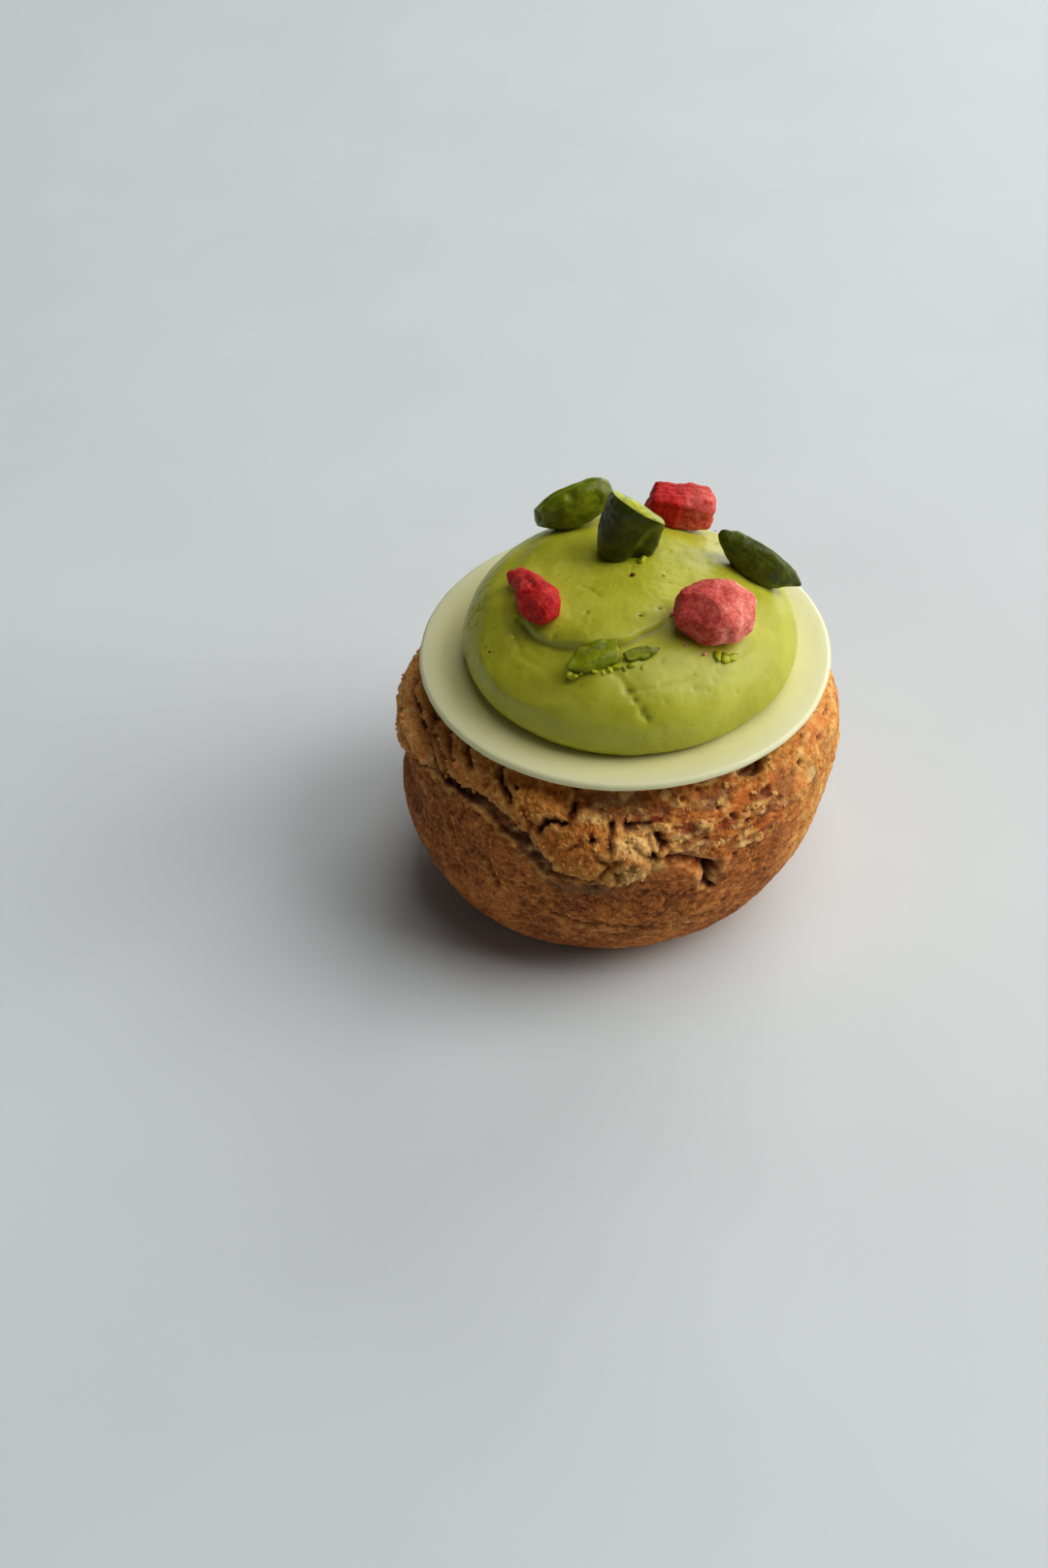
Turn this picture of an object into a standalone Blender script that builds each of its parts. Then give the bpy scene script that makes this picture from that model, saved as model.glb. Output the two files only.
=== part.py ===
# Cream puff: a crackled choux, a thin white chocolate disc, a dome of pistachio cream and its toppings.
# Metres, +Z up, the origin on the flat underside of the choux, -Y towards its best side.

import math

import bmesh
import bpy
from mathutils import Euler, Matrix, Vector, noise

MM = 0.001
GAP = 0.3 * MM

# Choux: a wall that leans a little, rounder at the shoulder than at the foot
SHELL_RADIUS = 30.3 * MM
SHELL_WIDEST_Z = 24.2 * MM
SHELL_FOOT_RADIUS = 16.0 * MM
SHELL_FOOT_POWER = 2.27
SHELL_CROWN_Z = 37.0 * MM
SHELL_CROWN_POWER = 2.35
SHELL_SEAT_Z = 35.1 * MM
SHELL_LEAN_FOOT = -1.4 * MM
SHELL_LEAN_SEAT = 1.5 * MM
SHELL_STEPS = 112
FOOT_RINGS = 14
CROWN_RINGS = 10

# Craquelin crust on the choux. A place on it is (angle in degrees, height in mm along the wall)
CRUST_THICKNESS = 1.5 * MM
CRUST_DROOP = 0.9 * MM
CRUST_EDGE = [
    (-180, 27.2), (-166, 28.2), (-156, 29.6), (-147, 31.6), (-139, 32.2), (-133, 31.6), (-124, 29.8),
    (-117, 28.0), (-113, 25.4), (-107, 23.9), (-100, 23.0), (-94, 22.0), (-90, 22.8), (-86, 25.0),
    (-83.5, 30), (-80, 42), (-70, 50), (58, 50), (78, 40), (96, 31.5), (122, 28), (150, 31), (180, 27.2),
]
CRUST_SEAMS = [  # (depth in mm, places along the seam)
    (0.9, [(172, 34.3), (-175, 37.5), (-163, 38.0), (-149, 37.0), (-132, 35.3)]),
    (0.7, [(178, 32.4), (-169, 33.3), (-151, 32.5)]),
    (1.0, [(-131, 37.5), (-124, 33.0)]),
    (1.4, [(-116, 31.8), (-110, 33.6)]),
    (1.0, [(-109, 40.0), (-107, 34.5)]),
    (0.9, [(-97, 34.3), (-98, 29.6)]),
    (0.8, [(-121, 24.8), (-113, 22.6), (-102, 20.0)]),
    (0.6, [(-130, 21.1), (-125, 17.0)]),
    (0.9, [(-83, 25.6), (-79, 24.6), (-73, 23.6)]),
    (0.9, [(98, 35.0), (122, 36.5), (146, 35.0)]),
    (0.9, [(112, 38.0), (114, 31.0)]),
]
SEAM_WIDTH = 0.9 * MM
DENTS = [  # (place, half width, half height and depth in mm)
    ((-96, 37.0), 5.2, 3.2, 1.7),
    ((-69.5, 19.8), 1.6, 3.2, 1.6),
    ((-51, 37.6), 4.0, 1.5, 1.1),
    ((-172, 23.0), 9.0, 3.4, 0.9),
    ((-20, 22), 1.6, 1.2, 0.6),
    ((35, 24), 2.0, 3.0, 1.0),
    ((68, 33), 4.0, 2.0, 1.0),
]
BULGES = [((-171, 33.0), 8.0, 4.6, 1.4), ((-97, 26), 6.0, 3.4, 0.7), ((-118, 32), 4.5, 3.0, 0.5)]
LUMP_SIZE = 6.5 * MM
LUMP_HEIGHT = 0.8 * MM
CRUMB_SIZE = 2.6 * MM
CRUMB_HEIGHT = 0.5 * MM
TORN_MIDDLE = -62
TORN_HALF_WIDTH = 34
TORN_HEIGHT = 0.5 * MM

# Chocolate disc, tilted as it lies, with the cream standing on it
DISC_RADIUS = 27.9 * MM
DISC_THICKNESS = 1.2 * MM
DISC_TOP = Vector((1.7 * MM, 0, 36.6 * MM))
DISC_TILT = Euler((math.radians(1.04), math.radians(0.33), 0))
DISC_STEPS = 64
DISC_ROUNDING = 0.35 * MM

# Cream dome, in the frame of the disc's top face
CREAM_CENTRE = Vector((0.6 * MM, -1.0 * MM, 0))
CREAM_FOOT_RADIUS = 21.0 * MM
CREAM_RADIUS = 22.35 * MM
CREAM_WIDEST_Z = 2.6 * MM
CREAM_HEIGHT = 13.3 * MM
CREAM_POWER = 2.33
CREAM_STEPS = 68
CREAM_RINGS = 15
TIER_CENTRE = Vector((-4.0 * MM, -1.2 * MM))
TIER_RADIUS = 11.3 * MM
TIER_STEP = 1.4 * MM
TIER_FROM = math.radians(-172)
TIER_TO = math.radians(-35)
SWIPE_EDGE = [(-12.2, 10.5), (-11.5, 4.9), (-9.2, 3.2), (-6.0, 2.2), (-2.6, 2.1)]
SWIPE_DEPTH = 0.7 * MM
SWIPE_REACH = 5.5 * MM
SWIPE_ROUNDING = 0.8 * MM
CREASE = [(-2.7, -16.8), (-1.3, -19.2), (0.0, -21.2), (2.2, -22.4)]
CREASE_DEPTH = 0.5 * MM
CREASE_WIDTH = 0.9 * MM

# Toppings: size, then (x, y, lift of the middle above the cream) in mm, then yaw, pitch and roll in degrees
KERNELS = {
    "pistachio_left": dict(
        size=(11.8, 6.0, 5.9), at=(-6.8, 14.8, 3.3), turn=(5, 21, -28), tip=0.15, power=2.8, cut=0.62
    ),
    "pistachio_right": dict(
        size=(12.4, 5.6, 6.8), at=(17.7, 2.6, 2.5), turn=(-25, -26, -38), tip=0.6, power=2.3, cut=0.2
    ),
}
STUB_RADII = (4.1 * MM, 3.4 * MM)
STUB_HEIGHT = 13.0 * MM
STUB_AT = (0.8, 5.6, 3.9)
STUB_LEAN = (0, -16, 0)
STUB_FOLD_X = 1.4 * MM
STUB_FOLD_WIDTH = 0.7 * MM
STUB_FOLD_DEPTH = 0.8 * MM
STUB_CUT_POINT = Vector((2.3 * MM, 5.0 * MM, 20.1 * MM))
STUB_CUT_NORMAL = Vector((0.55, 0.38, 0.74))
SLIVERS = {
    "pistachio_front_a": dict(
        size=(7.6, 4.0, 1.9), at=(-5.2, -14.4, 0.35), turn=(196, 0, 0), tip=0.6, power=2.4, cut=0.2
    ),
    "pistachio_front_b": dict(
        size=(4.6, 2.4, 1.6), at=(0.8, -14.7, 0.4), turn=(12, 0, 0), tip=0.3, power=2.4, cut=0.2
    ),
}
BERRIES = {
    "berry_back": dict(
        size=(9.6, 5.4, 5.3), at=(8.0, 15.3, 2.2), turn=(-2, -9, 0), power=7.0, taper=0.0, seed=3
    ),
    "berry_left": dict(
        size=(13.0, 6.0, 3.8), at=(-12.6, -2.4, 1.0), turn=(-69, 0, 0), power=2.4, taper=0.4, seed=7
    ),
    "berry_right": dict(
        size=(10.8, 8.2, 6.8), at=(9.8, -9.7, 2.8), turn=(8, 0, 0), power=2.8, taper=0.0, seed=12
    ),
}
BERRY_FACETS = 9
BERRY_ROUGHNESS = 0.45 * MM
BERRY_PIT_SIZE = 1.6 * MM
TAIL_SHIFT = 1.2 * MM
SHARP_EDGE = math.radians(45)


def smooth_step(low, high, value):
    share = min(1.0, max(0.0, (value - low) / (high - low)))
    return share * share * (3 - 2 * share)


def between(points, x):
    """The smooth value at x of a list of (x, value)."""
    for (x0, v0), (x1, v1) in zip(points, points[1:]):
        if x0 <= x <= x1:
            return v0 + (v1 - v0) * smooth_step(x0, x1, x)
    return points[-1][1]


def distance_to_line(point, start, end):
    run = end - start
    share = min(1.0, max(0.0, (point - start).dot(run) / run.length_squared))
    return (point - start - run * share).length


def clear_scene():
    for obj in list(bpy.data.objects):
        bpy.data.objects.remove(obj, do_unlink=True)


def new_collection(name):
    collection = bpy.data.collections.new(name)
    bpy.context.scene.collection.children.link(collection)
    return collection


def new_material(name, colour, roughness, coat=0.0):
    material = bpy.data.materials.new(name)
    material.use_nodes = True
    material.diffuse_color = (*colour, 1)
    shader = material.node_tree.nodes["Principled BSDF"]
    shader.inputs["Base Color"].default_value = (*colour, 1)
    shader.inputs["Roughness"].default_value = roughness
    shader.inputs["Metallic"].default_value = 0.0
    shader.inputs["Coat Weight"].default_value = coat
    return material


def new_object(name, mesh, material, collection, parent=None):
    obj = bpy.data.objects.new(name, mesh)
    collection.objects.link(obj)
    if material:
        mesh.materials.append(material)
    obj.parent = parent
    return obj


def turned_mesh(name, profile, steps):
    """A profile of (radius, height), from top to bottom, turned about Z and made a mesh."""
    line = bpy.data.meshes.new(name)
    edges = [(i, i + 1) for i in range(len(profile) - 1)]
    line.from_pydata([(radius, 0, height) for radius, height in profile], edges, [])
    turner = bpy.data.objects.new(name, line)
    bpy.context.scene.collection.objects.link(turner)
    screw = turner.modifiers.new("Turn", "SCREW")
    screw.steps = steps
    screw.render_steps = steps
    screw.use_merge_vertices = True
    screw.merge_threshold = 0.00001
    screw.use_smooth_shade = True
    graph = bpy.context.evaluated_depsgraph_get()
    mesh = bpy.data.meshes.new_from_object(turner.evaluated_get(graph))
    bpy.data.objects.remove(turner)
    bpy.data.meshes.remove(line)
    return mesh


def shell_profile():
    crown_rise = SHELL_CROWN_Z - SHELL_WIDEST_Z
    seat_turn = math.asin(((SHELL_SEAT_Z - SHELL_WIDEST_Z) / crown_rise) ** (SHELL_CROWN_POWER / 2))
    seat_radius = SHELL_RADIUS * math.cos(seat_turn) ** (2 / SHELL_CROWN_POWER)
    points = [(0, SHELL_SEAT_Z), (seat_radius * 0.6, SHELL_SEAT_Z)]
    for i in range(CROWN_RINGS):
        turn = seat_turn * (1 - i / CROWN_RINGS)
        radius = SHELL_RADIUS * math.cos(turn) ** (2 / SHELL_CROWN_POWER)
        points.append((radius, SHELL_WIDEST_Z + crown_rise * math.sin(turn) ** (2 / SHELL_CROWN_POWER)))
    for i in range(FOOT_RINGS + 1):
        turn = math.pi / 2 * i / FOOT_RINGS
        inset = (SHELL_RADIUS - SHELL_FOOT_RADIUS) * max(0.0, math.cos(turn)) ** (2 / SHELL_FOOT_POWER)
        drop = math.sin(turn) ** (2 / SHELL_FOOT_POWER)
        points.append((SHELL_FOOT_RADIUS + inset, SHELL_WIDEST_Z * (1 - drop)))
    points.append((SHELL_FOOT_RADIUS * 0.5, 0))
    points.append((0, 0))
    return points


def wall_height(radius, height):
    """Height along the wall in millimetres, which keeps growing where the shoulder turns inwards."""
    inwards = SHELL_RADIUS - radius if height > SHELL_WIDEST_Z else 0
    return (height + inwards) / MM


def wall_offset(place, start):
    """The way along the unrolled wall in metres from one (angle, height) to another."""
    turn = (place[0] - start[0] + 180) % 360 - 180
    return Vector((math.radians(turn) * SHELL_RADIUS, (place[1] - start[1]) * MM))


def seam_distance(place, seam):
    distances = []
    for start, end in zip(seam, seam[1:]):
        distances.append(distance_to_line(wall_offset(place, start), Vector((0, 0)), wall_offset(end, start)))
    return min(distances)


def mound(place, middle, half_width, half_height):
    """1 at the middle of an oval on the wall and 0 outside it."""
    offset = wall_offset(place, middle) / MM
    return math.exp(-(((offset.x / half_width) ** 2 + (offset.y / half_height) ** 2) ** 2))


def shell_relief(place, point):
    """How far the wall stands out and hangs down at a place, from its crust, lumps, seams and dents."""
    angle, height = place
    above_edge = height - between(CRUST_EDGE, angle) - CRUST_DROOP / MM
    crust = smooth_step(0.0, 0.7, above_edge)
    lumps = LUMP_HEIGHT * noise.noise(point / LUMP_SIZE)
    crumbs = CRUMB_HEIGHT * noise.noise(point / CRUMB_SIZE)
    out = crust * (CRUST_THICKNESS + lumps + crumbs) + (1 - crust) * 0.35 * lumps
    for depth, seam in CRUST_SEAMS:
        out -= depth * MM * math.exp(-((seam_distance(place, seam) / SEAM_WIDTH) ** 2))
    for middle, half_width, half_height, depth in DENTS:
        out -= depth * MM * mound(place, middle, half_width, half_height)
    for middle, half_width, half_height, rise in BULGES:
        out += crust * rise * MM * mound(place, middle, half_width, half_height)
    torn = smooth_step(1.0, 0.6, abs(angle - TORN_MIDDLE) / TORN_HALF_WIDTH) * smooth_step(20, 25, height)
    out += torn * (TORN_HEIGHT + 1.5 * crumbs) * (1 - crust)
    return out, crust * smooth_step(3.2, 0.4, above_edge) * CRUST_DROOP


def disc_lift(point):
    """How much higher the tilted disc lies above this point than at the middle."""
    across = DISC_TILT.to_matrix() @ Vector((0, 0, 1))
    return -(across.x * (point.x - DISC_TOP.x) + across.y * (point.y - DISC_TOP.y)) / across.z


def choux_shell(material, collection):
    mesh = turned_mesh("choux_shell", shell_profile(), SHELL_STEPS)
    normals = [vertex.normal.copy() for vertex in mesh.vertices]
    for vertex, normal in zip(mesh.vertices, normals):
        point = vertex.co.copy()
        share = point.z / SHELL_SEAT_Z
        if 0 < point.z < SHELL_SEAT_Z - 0.01 * MM:
            angle = math.degrees(math.atan2(point.y, point.x))
            height = wall_height(math.hypot(point.x, point.y), point.z)
            out, down = shell_relief((angle, height), point)
            point += normal * out * smooth_step(0, 5, point.z / MM)
            point.z -= down
        point.x += SHELL_LEAN_FOOT + (SHELL_LEAN_SEAT - SHELL_LEAN_FOOT) * share
        point.z += disc_lift(point) * smooth_step(0.5, 1.0, share)
        if math.hypot(point.x - DISC_TOP.x, point.y) < DISC_RADIUS + 2 * GAP:
            point.z = min(point.z, SHELL_SEAT_Z + disc_lift(point))
        vertex.co = point
    return new_object("choux_shell", mesh, material, collection)


def chocolate_disc(material, collection, parent):
    shape = bmesh.new()
    bmesh.ops.create_cone(
        shape,
        cap_ends=True,
        segments=DISC_STEPS,
        radius1=DISC_RADIUS,
        radius2=DISC_RADIUS,
        depth=DISC_THICKNESS,
    )
    bmesh.ops.translate(shape, verts=shape.verts, vec=(0, 0, -DISC_THICKNESS / 2))
    mesh = bpy.data.meshes.new("chocolate_disc")
    shape.to_mesh(mesh)
    shape.free()
    disc = new_object("chocolate_disc", mesh, material, collection, parent)
    bevel = disc.modifiers.new("Rounded rim", "BEVEL")
    bevel.width = DISC_ROUNDING
    bevel.segments = 2
    bevel.limit_method = "ANGLE"
    mesh.shade_smooth()
    mesh.set_sharp_from_angle(angle=SHARP_EDGE)
    return disc


def cream_height(x, y):
    """Height of the plain dome above the disc at a place measured from the dome's middle."""
    share = min(1.0, math.hypot(x, y) / CREAM_RADIUS)
    return CREAM_WIDEST_Z + (CREAM_HEIGHT - CREAM_WIDEST_Z) * (1 - share**CREAM_POWER) ** (1 / CREAM_POWER)


def cream_profile():
    points = [(0, CREAM_HEIGHT)]
    for i in range(1, CREAM_RINGS + 1):
        radius = CREAM_RADIUS * math.sin(math.pi / 2 * i / CREAM_RINGS)
        points.append((radius, cream_height(radius, 0)))
    for share in (0.5, 1.0):
        radius = CREAM_RADIUS + (CREAM_FOOT_RADIUS - CREAM_RADIUS) * share**2
        points.append((radius, CREAM_WIDEST_Z + (GAP - CREAM_WIDEST_Z) * share))
    points.append((CREAM_FOOT_RADIUS * 0.5, GAP))
    points.append((0, GAP))
    return points


def path_distance(place, path):
    points = [Vector(pair) * MM for pair in path]
    return min(distance_to_line(place, start, end) for start, end in zip(points, points[1:]))


def cream_relief(x, y):
    """How far the cream stands out from the plain dome: the upper tier's step, the swipe and the crease."""
    place = Vector((x, y))
    from_tier = place - TIER_CENTRE
    turn = math.atan2(from_tier.y, from_tier.x)
    ends = smooth_step(TIER_FROM, TIER_FROM + 0.4, turn) * smooth_step(TIER_TO, TIER_TO - 0.5, turn)
    outside = (from_tier.length - TIER_RADIUS) / MM
    ledge = 0.35 * smooth_step(-7, -0.6, outside) * smooth_step(0.7, -0.6, outside)
    groove = 0.65 * smooth_step(-0.5, 0.8, outside) * smooth_step(4.5, 0.9, outside)
    relief = ends * TIER_STEP * (ledge - groove)
    if x > SWIPE_EDGE[0][0] * MM and y > between(SWIPE_EDGE, x / MM) * MM:
        away = path_distance(place, SWIPE_EDGE)
        relief -= SWIPE_DEPTH * smooth_step(SWIPE_REACH, 0, away) * smooth_step(0, SWIPE_ROUNDING, away)
    return relief - CREASE_DEPTH * math.exp(-((path_distance(place, CREASE) / CREASE_WIDTH) ** 2))


def cream_dome(material, collection, parent, cutters):
    mesh = turned_mesh("cream_dome", cream_profile(), CREAM_STEPS)
    normals = [vertex.normal.copy() for vertex in mesh.vertices]
    for vertex, normal in zip(mesh.vertices, normals):
        if vertex.co.z > GAP * 1.5:
            vertex.co += normal * cream_relief(vertex.co.x, vertex.co.y)
    dome = new_object("cream_dome", mesh, material, collection, parent)
    dome.location = CREAM_CENTRE
    sockets = dome.modifiers.new("Sockets", "BOOLEAN")
    sockets.operation = "DIFFERENCE"
    sockets.operand_type = "COLLECTION"
    sockets.collection = cutters
    sockets.solver = "EXACT"
    return dome


def on_cream(at, turn, follow_slope=True):
    """The matrix, in the disc's frame, of a topping on the cream, its own Z along the slope or upright."""
    x, y, lift = (value * MM for value in at)
    step = 0.5 * MM
    slope_x = (cream_height(x + step, y) - cream_height(x - step, y)) / (2 * step)
    slope_y = (cream_height(x, y + step) - cream_height(x, y - step)) / (2 * step)
    up = Vector((-slope_x, -slope_y, 1)).normalized() if follow_slope else Vector((0, 0, 1))
    spot = CREAM_CENTRE + Vector((x, y, cream_height(x, y))) + up * lift
    tip = Vector((0, 0, 1)).rotation_difference(up).to_matrix().to_4x4()
    yaw, pitch, roll = (math.radians(value) for value in turn)
    turns = Matrix.Rotation(yaw, 4, "Z") @ Matrix.Rotation(-pitch, 4, "Y") @ Matrix.Rotation(roll, 4, "X")
    return Matrix.Translation(spot) @ tip @ turns


def place_topping(name, shape, matrix, material, collection, parent, cutters):
    """The topping itself, and a slightly larger copy that presses its socket into the cream."""
    mesh = bpy.data.meshes.new(name)
    bmesh.ops.recalc_face_normals(shape, faces=shape.faces)
    shape.to_mesh(mesh)
    mesh.shade_smooth()
    mesh.set_sharp_from_angle(angle=SHARP_EDGE)
    topping = new_object(name, mesh, material, collection, parent)
    topping.matrix_local = matrix
    shape.normal_update()
    grown = [vertex.co + vertex.normal * GAP * 1.3 for vertex in shape.verts]
    for vertex, place in zip(shape.verts, grown):
        vertex.co = place
    socket_mesh = bpy.data.meshes.new(name + "_socket")
    shape.to_mesh(socket_mesh)
    shape.free()
    socket = new_object(name + "_socket", socket_mesh, None, cutters, parent)
    socket.matrix_local = matrix
    socket.hide_render = True
    socket.display_type = "WIRE"
    return topping


def rounded_block(half_sizes, power, level):
    """A ball whose sides are flattened towards a block as the power grows."""
    shape = bmesh.new()
    bmesh.ops.create_icosphere(shape, subdivisions=level, radius=1.0)
    for vertex in shape.verts:
        ball = sum(abs(value) ** power for value in vertex.co) ** (1 / power)
        vertex.co = Vector([value * half / ball for value, half in zip(vertex.co, half_sizes)])
    return shape


def kernel_shape(size, tip, power, cut, level=3):
    """A piece of pistachio: a boat cut flat at a share of its height, blunt at -X and pointed at +X."""
    half_sizes = [value * MM / 2 for value in size]
    shape = rounded_block(half_sizes, power, level)
    for vertex in shape.verts:
        along = vertex.co.x / half_sizes[0]
        narrow = 1 - tip * smooth_step(0.1, 1.1, along) ** 1.5 - 0.15 * smooth_step(0.2, 1.1, -along)
        vertex.co.y *= narrow
        vertex.co.z *= narrow
        vertex.co.z += 0.12 * half_sizes[2] * along * along
    cut_away(shape, Vector((0, 0, half_sizes[2] * cut)), Vector((0, 0, 1)))
    return shape


def cut_away(shape, point, normal):
    """Removes what lies in front of a plane and closes the cut."""
    whole = shape.verts[:] + shape.edges[:] + shape.faces[:]
    cut = bmesh.ops.bisect_plane(shape, geom=whole, plane_co=point, plane_no=normal, clear_outer=True)
    rim = [item for item in cut["geom_cut"] if isinstance(item, bmesh.types.BMEdge)]
    bmesh.ops.contextual_create(shape, geom=rim)
    bmesh.ops.dissolve_degenerate(shape, dist=0.02 * MM, edges=shape.edges)


def stub_shape(matrix):
    """A broken kernel that stands on end, folded down its front, with a slanted cut on top."""
    shape = rounded_block((*STUB_RADII, STUB_HEIGHT / 2), 3.2, 3)
    for vertex in shape.verts:
        if vertex.co.y < 0:
            vertex.co.y += STUB_FOLD_DEPTH * math.exp(-(((vertex.co.x - STUB_FOLD_X) / STUB_FOLD_WIDTH) ** 2))
    inverse = matrix.inverted()
    cut_away(shape, inverse @ (CREAM_CENTRE + STUB_CUT_POINT), inverse.to_3x3() @ STUB_CUT_NORMAL)
    return shape


def berry_shape(size, power, taper, seed):
    """A broken piece of dried berry: a block knocked flat on many sides, pitted, with a tail if it tapers."""
    half_sizes = [value * MM / 2 for value in size]
    shape = rounded_block(half_sizes, power, 3)
    for i in range(BERRY_FACETS):
        turn = 2.4 * i + seed
        rise = (2 * i + 1) / BERRY_FACETS - 1
        level = math.sqrt(1 - rise * rise)
        direction = Vector((level * math.cos(turn), level * math.sin(turn), rise))
        reach = max(vertex.co.dot(direction) for vertex in shape.verts)
        limit = reach * (0.86 + 0.05 * noise.noise(Vector((seed, i * 1.7, 0.4))))
        for vertex in shape.verts:
            vertex.co -= direction * max(0.0, vertex.co.dot(direction) - limit) * 0.85
    for vertex in shape.verts:
        along = vertex.co.x / half_sizes[0]
        tail = taper * smooth_step(0.5, -0.7, along)
        vertex.co.y = vertex.co.y * (1 - tail) - taper * TAIL_SHIFT * smooth_step(0.2, -1.0, along)
        vertex.co.z *= 1 - tail
        pits = noise.noise(vertex.co / BERRY_PIT_SIZE + Vector((seed, 0, 0)))
        vertex.co += vertex.co.normalized() * BERRY_ROUGHNESS * pits
    return shape


def build():
    clear_scene()
    parts = new_collection("cream_puff")
    cutters = new_collection("cutters")
    cutters.hide_render = True

    crust = new_material("choux_crust", (0.42, 0.17, 0.045), 0.75)
    chocolate = new_material("white_chocolate", (0.70, 0.68, 0.40), 0.35, coat=0.2)
    cream = new_material("pistachio_cream", (0.42, 0.43, 0.07), 0.45)
    kernel = new_material("pistachio_kernel", (0.05, 0.09, 0.01), 0.35, coat=0.3)
    berry = new_material("dried_berry", (0.62, 0.05, 0.06), 0.8)

    choux_shell(crust, parts)

    disc_frame = bpy.data.objects.new("disc_frame", None)
    parts.objects.link(disc_frame)
    disc_frame.location = DISC_TOP
    disc_frame.rotation_euler = DISC_TILT
    chocolate_disc(chocolate, parts, disc_frame)

    stage = (parts, disc_frame, cutters)
    for name, kind in KERNELS.items():
        shape = kernel_shape(kind["size"], kind["tip"], kind["power"], kind["cut"])
        place_topping(name, shape, on_cream(kind["at"], kind["turn"], False), kernel, *stage)
    for name, kind in SLIVERS.items():
        shape = kernel_shape(kind["size"], kind["tip"], kind["power"], kind["cut"], level=2)
        place_topping(name, shape, on_cream(kind["at"], kind["turn"]), kernel, *stage)
    stub_matrix = on_cream(STUB_AT, STUB_LEAN, False)
    place_topping("pistachio_centre", stub_shape(stub_matrix), stub_matrix, kernel, *stage)
    for name, kind in BERRIES.items():
        shape = berry_shape(kind["size"], kind["power"], kind["taper"], kind["seed"])
        place_topping(name, shape, on_cream(kind["at"], kind["turn"], name != "berry_back"), berry, *stage)
    cream_dome(cream, *stage)


build()
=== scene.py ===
import math

import bpy
import numpy as np
from mathutils import Euler, Matrix, Vector, noise


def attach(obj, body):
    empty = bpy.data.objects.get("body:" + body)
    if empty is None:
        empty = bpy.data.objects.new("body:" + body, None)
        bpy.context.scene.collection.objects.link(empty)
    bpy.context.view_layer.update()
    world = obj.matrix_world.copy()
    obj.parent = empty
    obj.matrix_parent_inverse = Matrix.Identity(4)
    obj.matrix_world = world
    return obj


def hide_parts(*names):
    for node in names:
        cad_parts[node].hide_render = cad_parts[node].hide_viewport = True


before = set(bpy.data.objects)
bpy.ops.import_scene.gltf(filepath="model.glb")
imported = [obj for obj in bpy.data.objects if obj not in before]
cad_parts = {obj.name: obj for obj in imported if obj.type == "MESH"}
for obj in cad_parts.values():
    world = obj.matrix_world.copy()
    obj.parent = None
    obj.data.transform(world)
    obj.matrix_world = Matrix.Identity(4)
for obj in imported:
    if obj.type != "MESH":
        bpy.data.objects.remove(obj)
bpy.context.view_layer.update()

# Cream puff with a crackled crust, a white chocolate disc, a pistachio cream dome and its toppings.
# Shapes are worked out in millimetres and scaled to metres when a mesh is made.

mm = 0.001
print("frame loaded")


# Small helpers for shapes

def smoothStep(low, high, value):
    share = np.clip((np.asarray(value, float) - low) / (high - low), 0, 1)
    return share * share * (3 - 2 * share)


def noiseAt(points, size, shift=0.0, stretch=(1, 1, 1)):
    places = points / (np.array(stretch) * size) + shift
    return np.array([noise.noise(place) for place in places.tolist()])


def layered(points, layers):  # a layer is how high it rises, its size, its shift and its stretch
    return sum(rise * noiseAt(points, *kind) for rise, *kind in layers)


def cellsAt(points, size, shift=0.0):  # distance to the cell's middle, and 0 on the line between two cells
    near = np.array([noise.voronoi(place)[0][:2] for place in (points / size + shift).tolist()])
    return near[:, 0], near[:, 1] - near[:, 0]


def creases(points, size, width, shift=0.0, stretch=(1, 1, 1)):  # 1 along wandering thin lines
    return smoothStep(width, 0, np.abs(noiseAt(points, size, shift, stretch)))


def patches(points, size, shift, low, high, stretch=(1, 1, 1)):  # 1 in soft-edged patches, 0 between them
    return smoothStep(low, high, noiseAt(points, size, shift, stretch))


def bentPlaces(places, size, shifts):  # places pushed about, so that noise looked up there curls
    return places + 0.9 * np.stack([noiseAt(places, size, shift) for shift in shifts], axis=-1)


def band(value, start, full, fade, end):  # 0 up to start, 1 from full to fade, 0 from end
    return smoothStep(start, full, value) * smoothStep(end, fade, value)


def pathDistance(x, y, path):
    best = np.full(np.shape(x), 1e9)
    for (x0, y0), (x1, y1) in zip(path, path[1:]):
        runX, runY = x1 - x0, y1 - y0
        share = np.clip(((x - x0) * runX + (y - y0) * runY) / (runX**2 + runY**2), 0, 1)
        best = np.minimum(best, np.hypot(x - x0 - share * runX, y - y0 - share * runY))
    return best


def insideOutline(x, y, corners):  # mm inside a closed outline, less than 0 outside it
    inside = np.zeros(len(x), bool)
    closed = list(corners) + [corners[0]]
    for (x0, y0), (x1, y1) in zip(closed, closed[1:]):
        if y0 != y1:
            inside ^= ((y0 > y) != (y1 > y)) & (x < x0 + (y - y0) * (x1 - x0) / (y1 - y0))
    away = pathDistance(x, y, closed)
    return np.where(inside, away, -away)


def terraced(value, step):  # flat treads with steep risers
    level = value / step
    return step * (np.floor(level) + smoothStep(0.3, 0.7, level - np.floor(level)))


def moved(points, matrix):
    grid = np.array(matrix)
    return points @ grid[:3, :3].T + grid[:3, 3]


def evenly(profile, count, weight=1.0):  # a polyline in even steps, shorter where the weight is more
    lengths = np.hypot(*np.diff(profile, axis=0).T) * weight
    steps = np.r_[0, np.cumsum(lengths)]
    marks = np.linspace(0, steps[-1], count)
    return np.c_[np.interp(marks, steps, profile[:, 0]), np.interp(marks, steps, profile[:, 1])]


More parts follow.
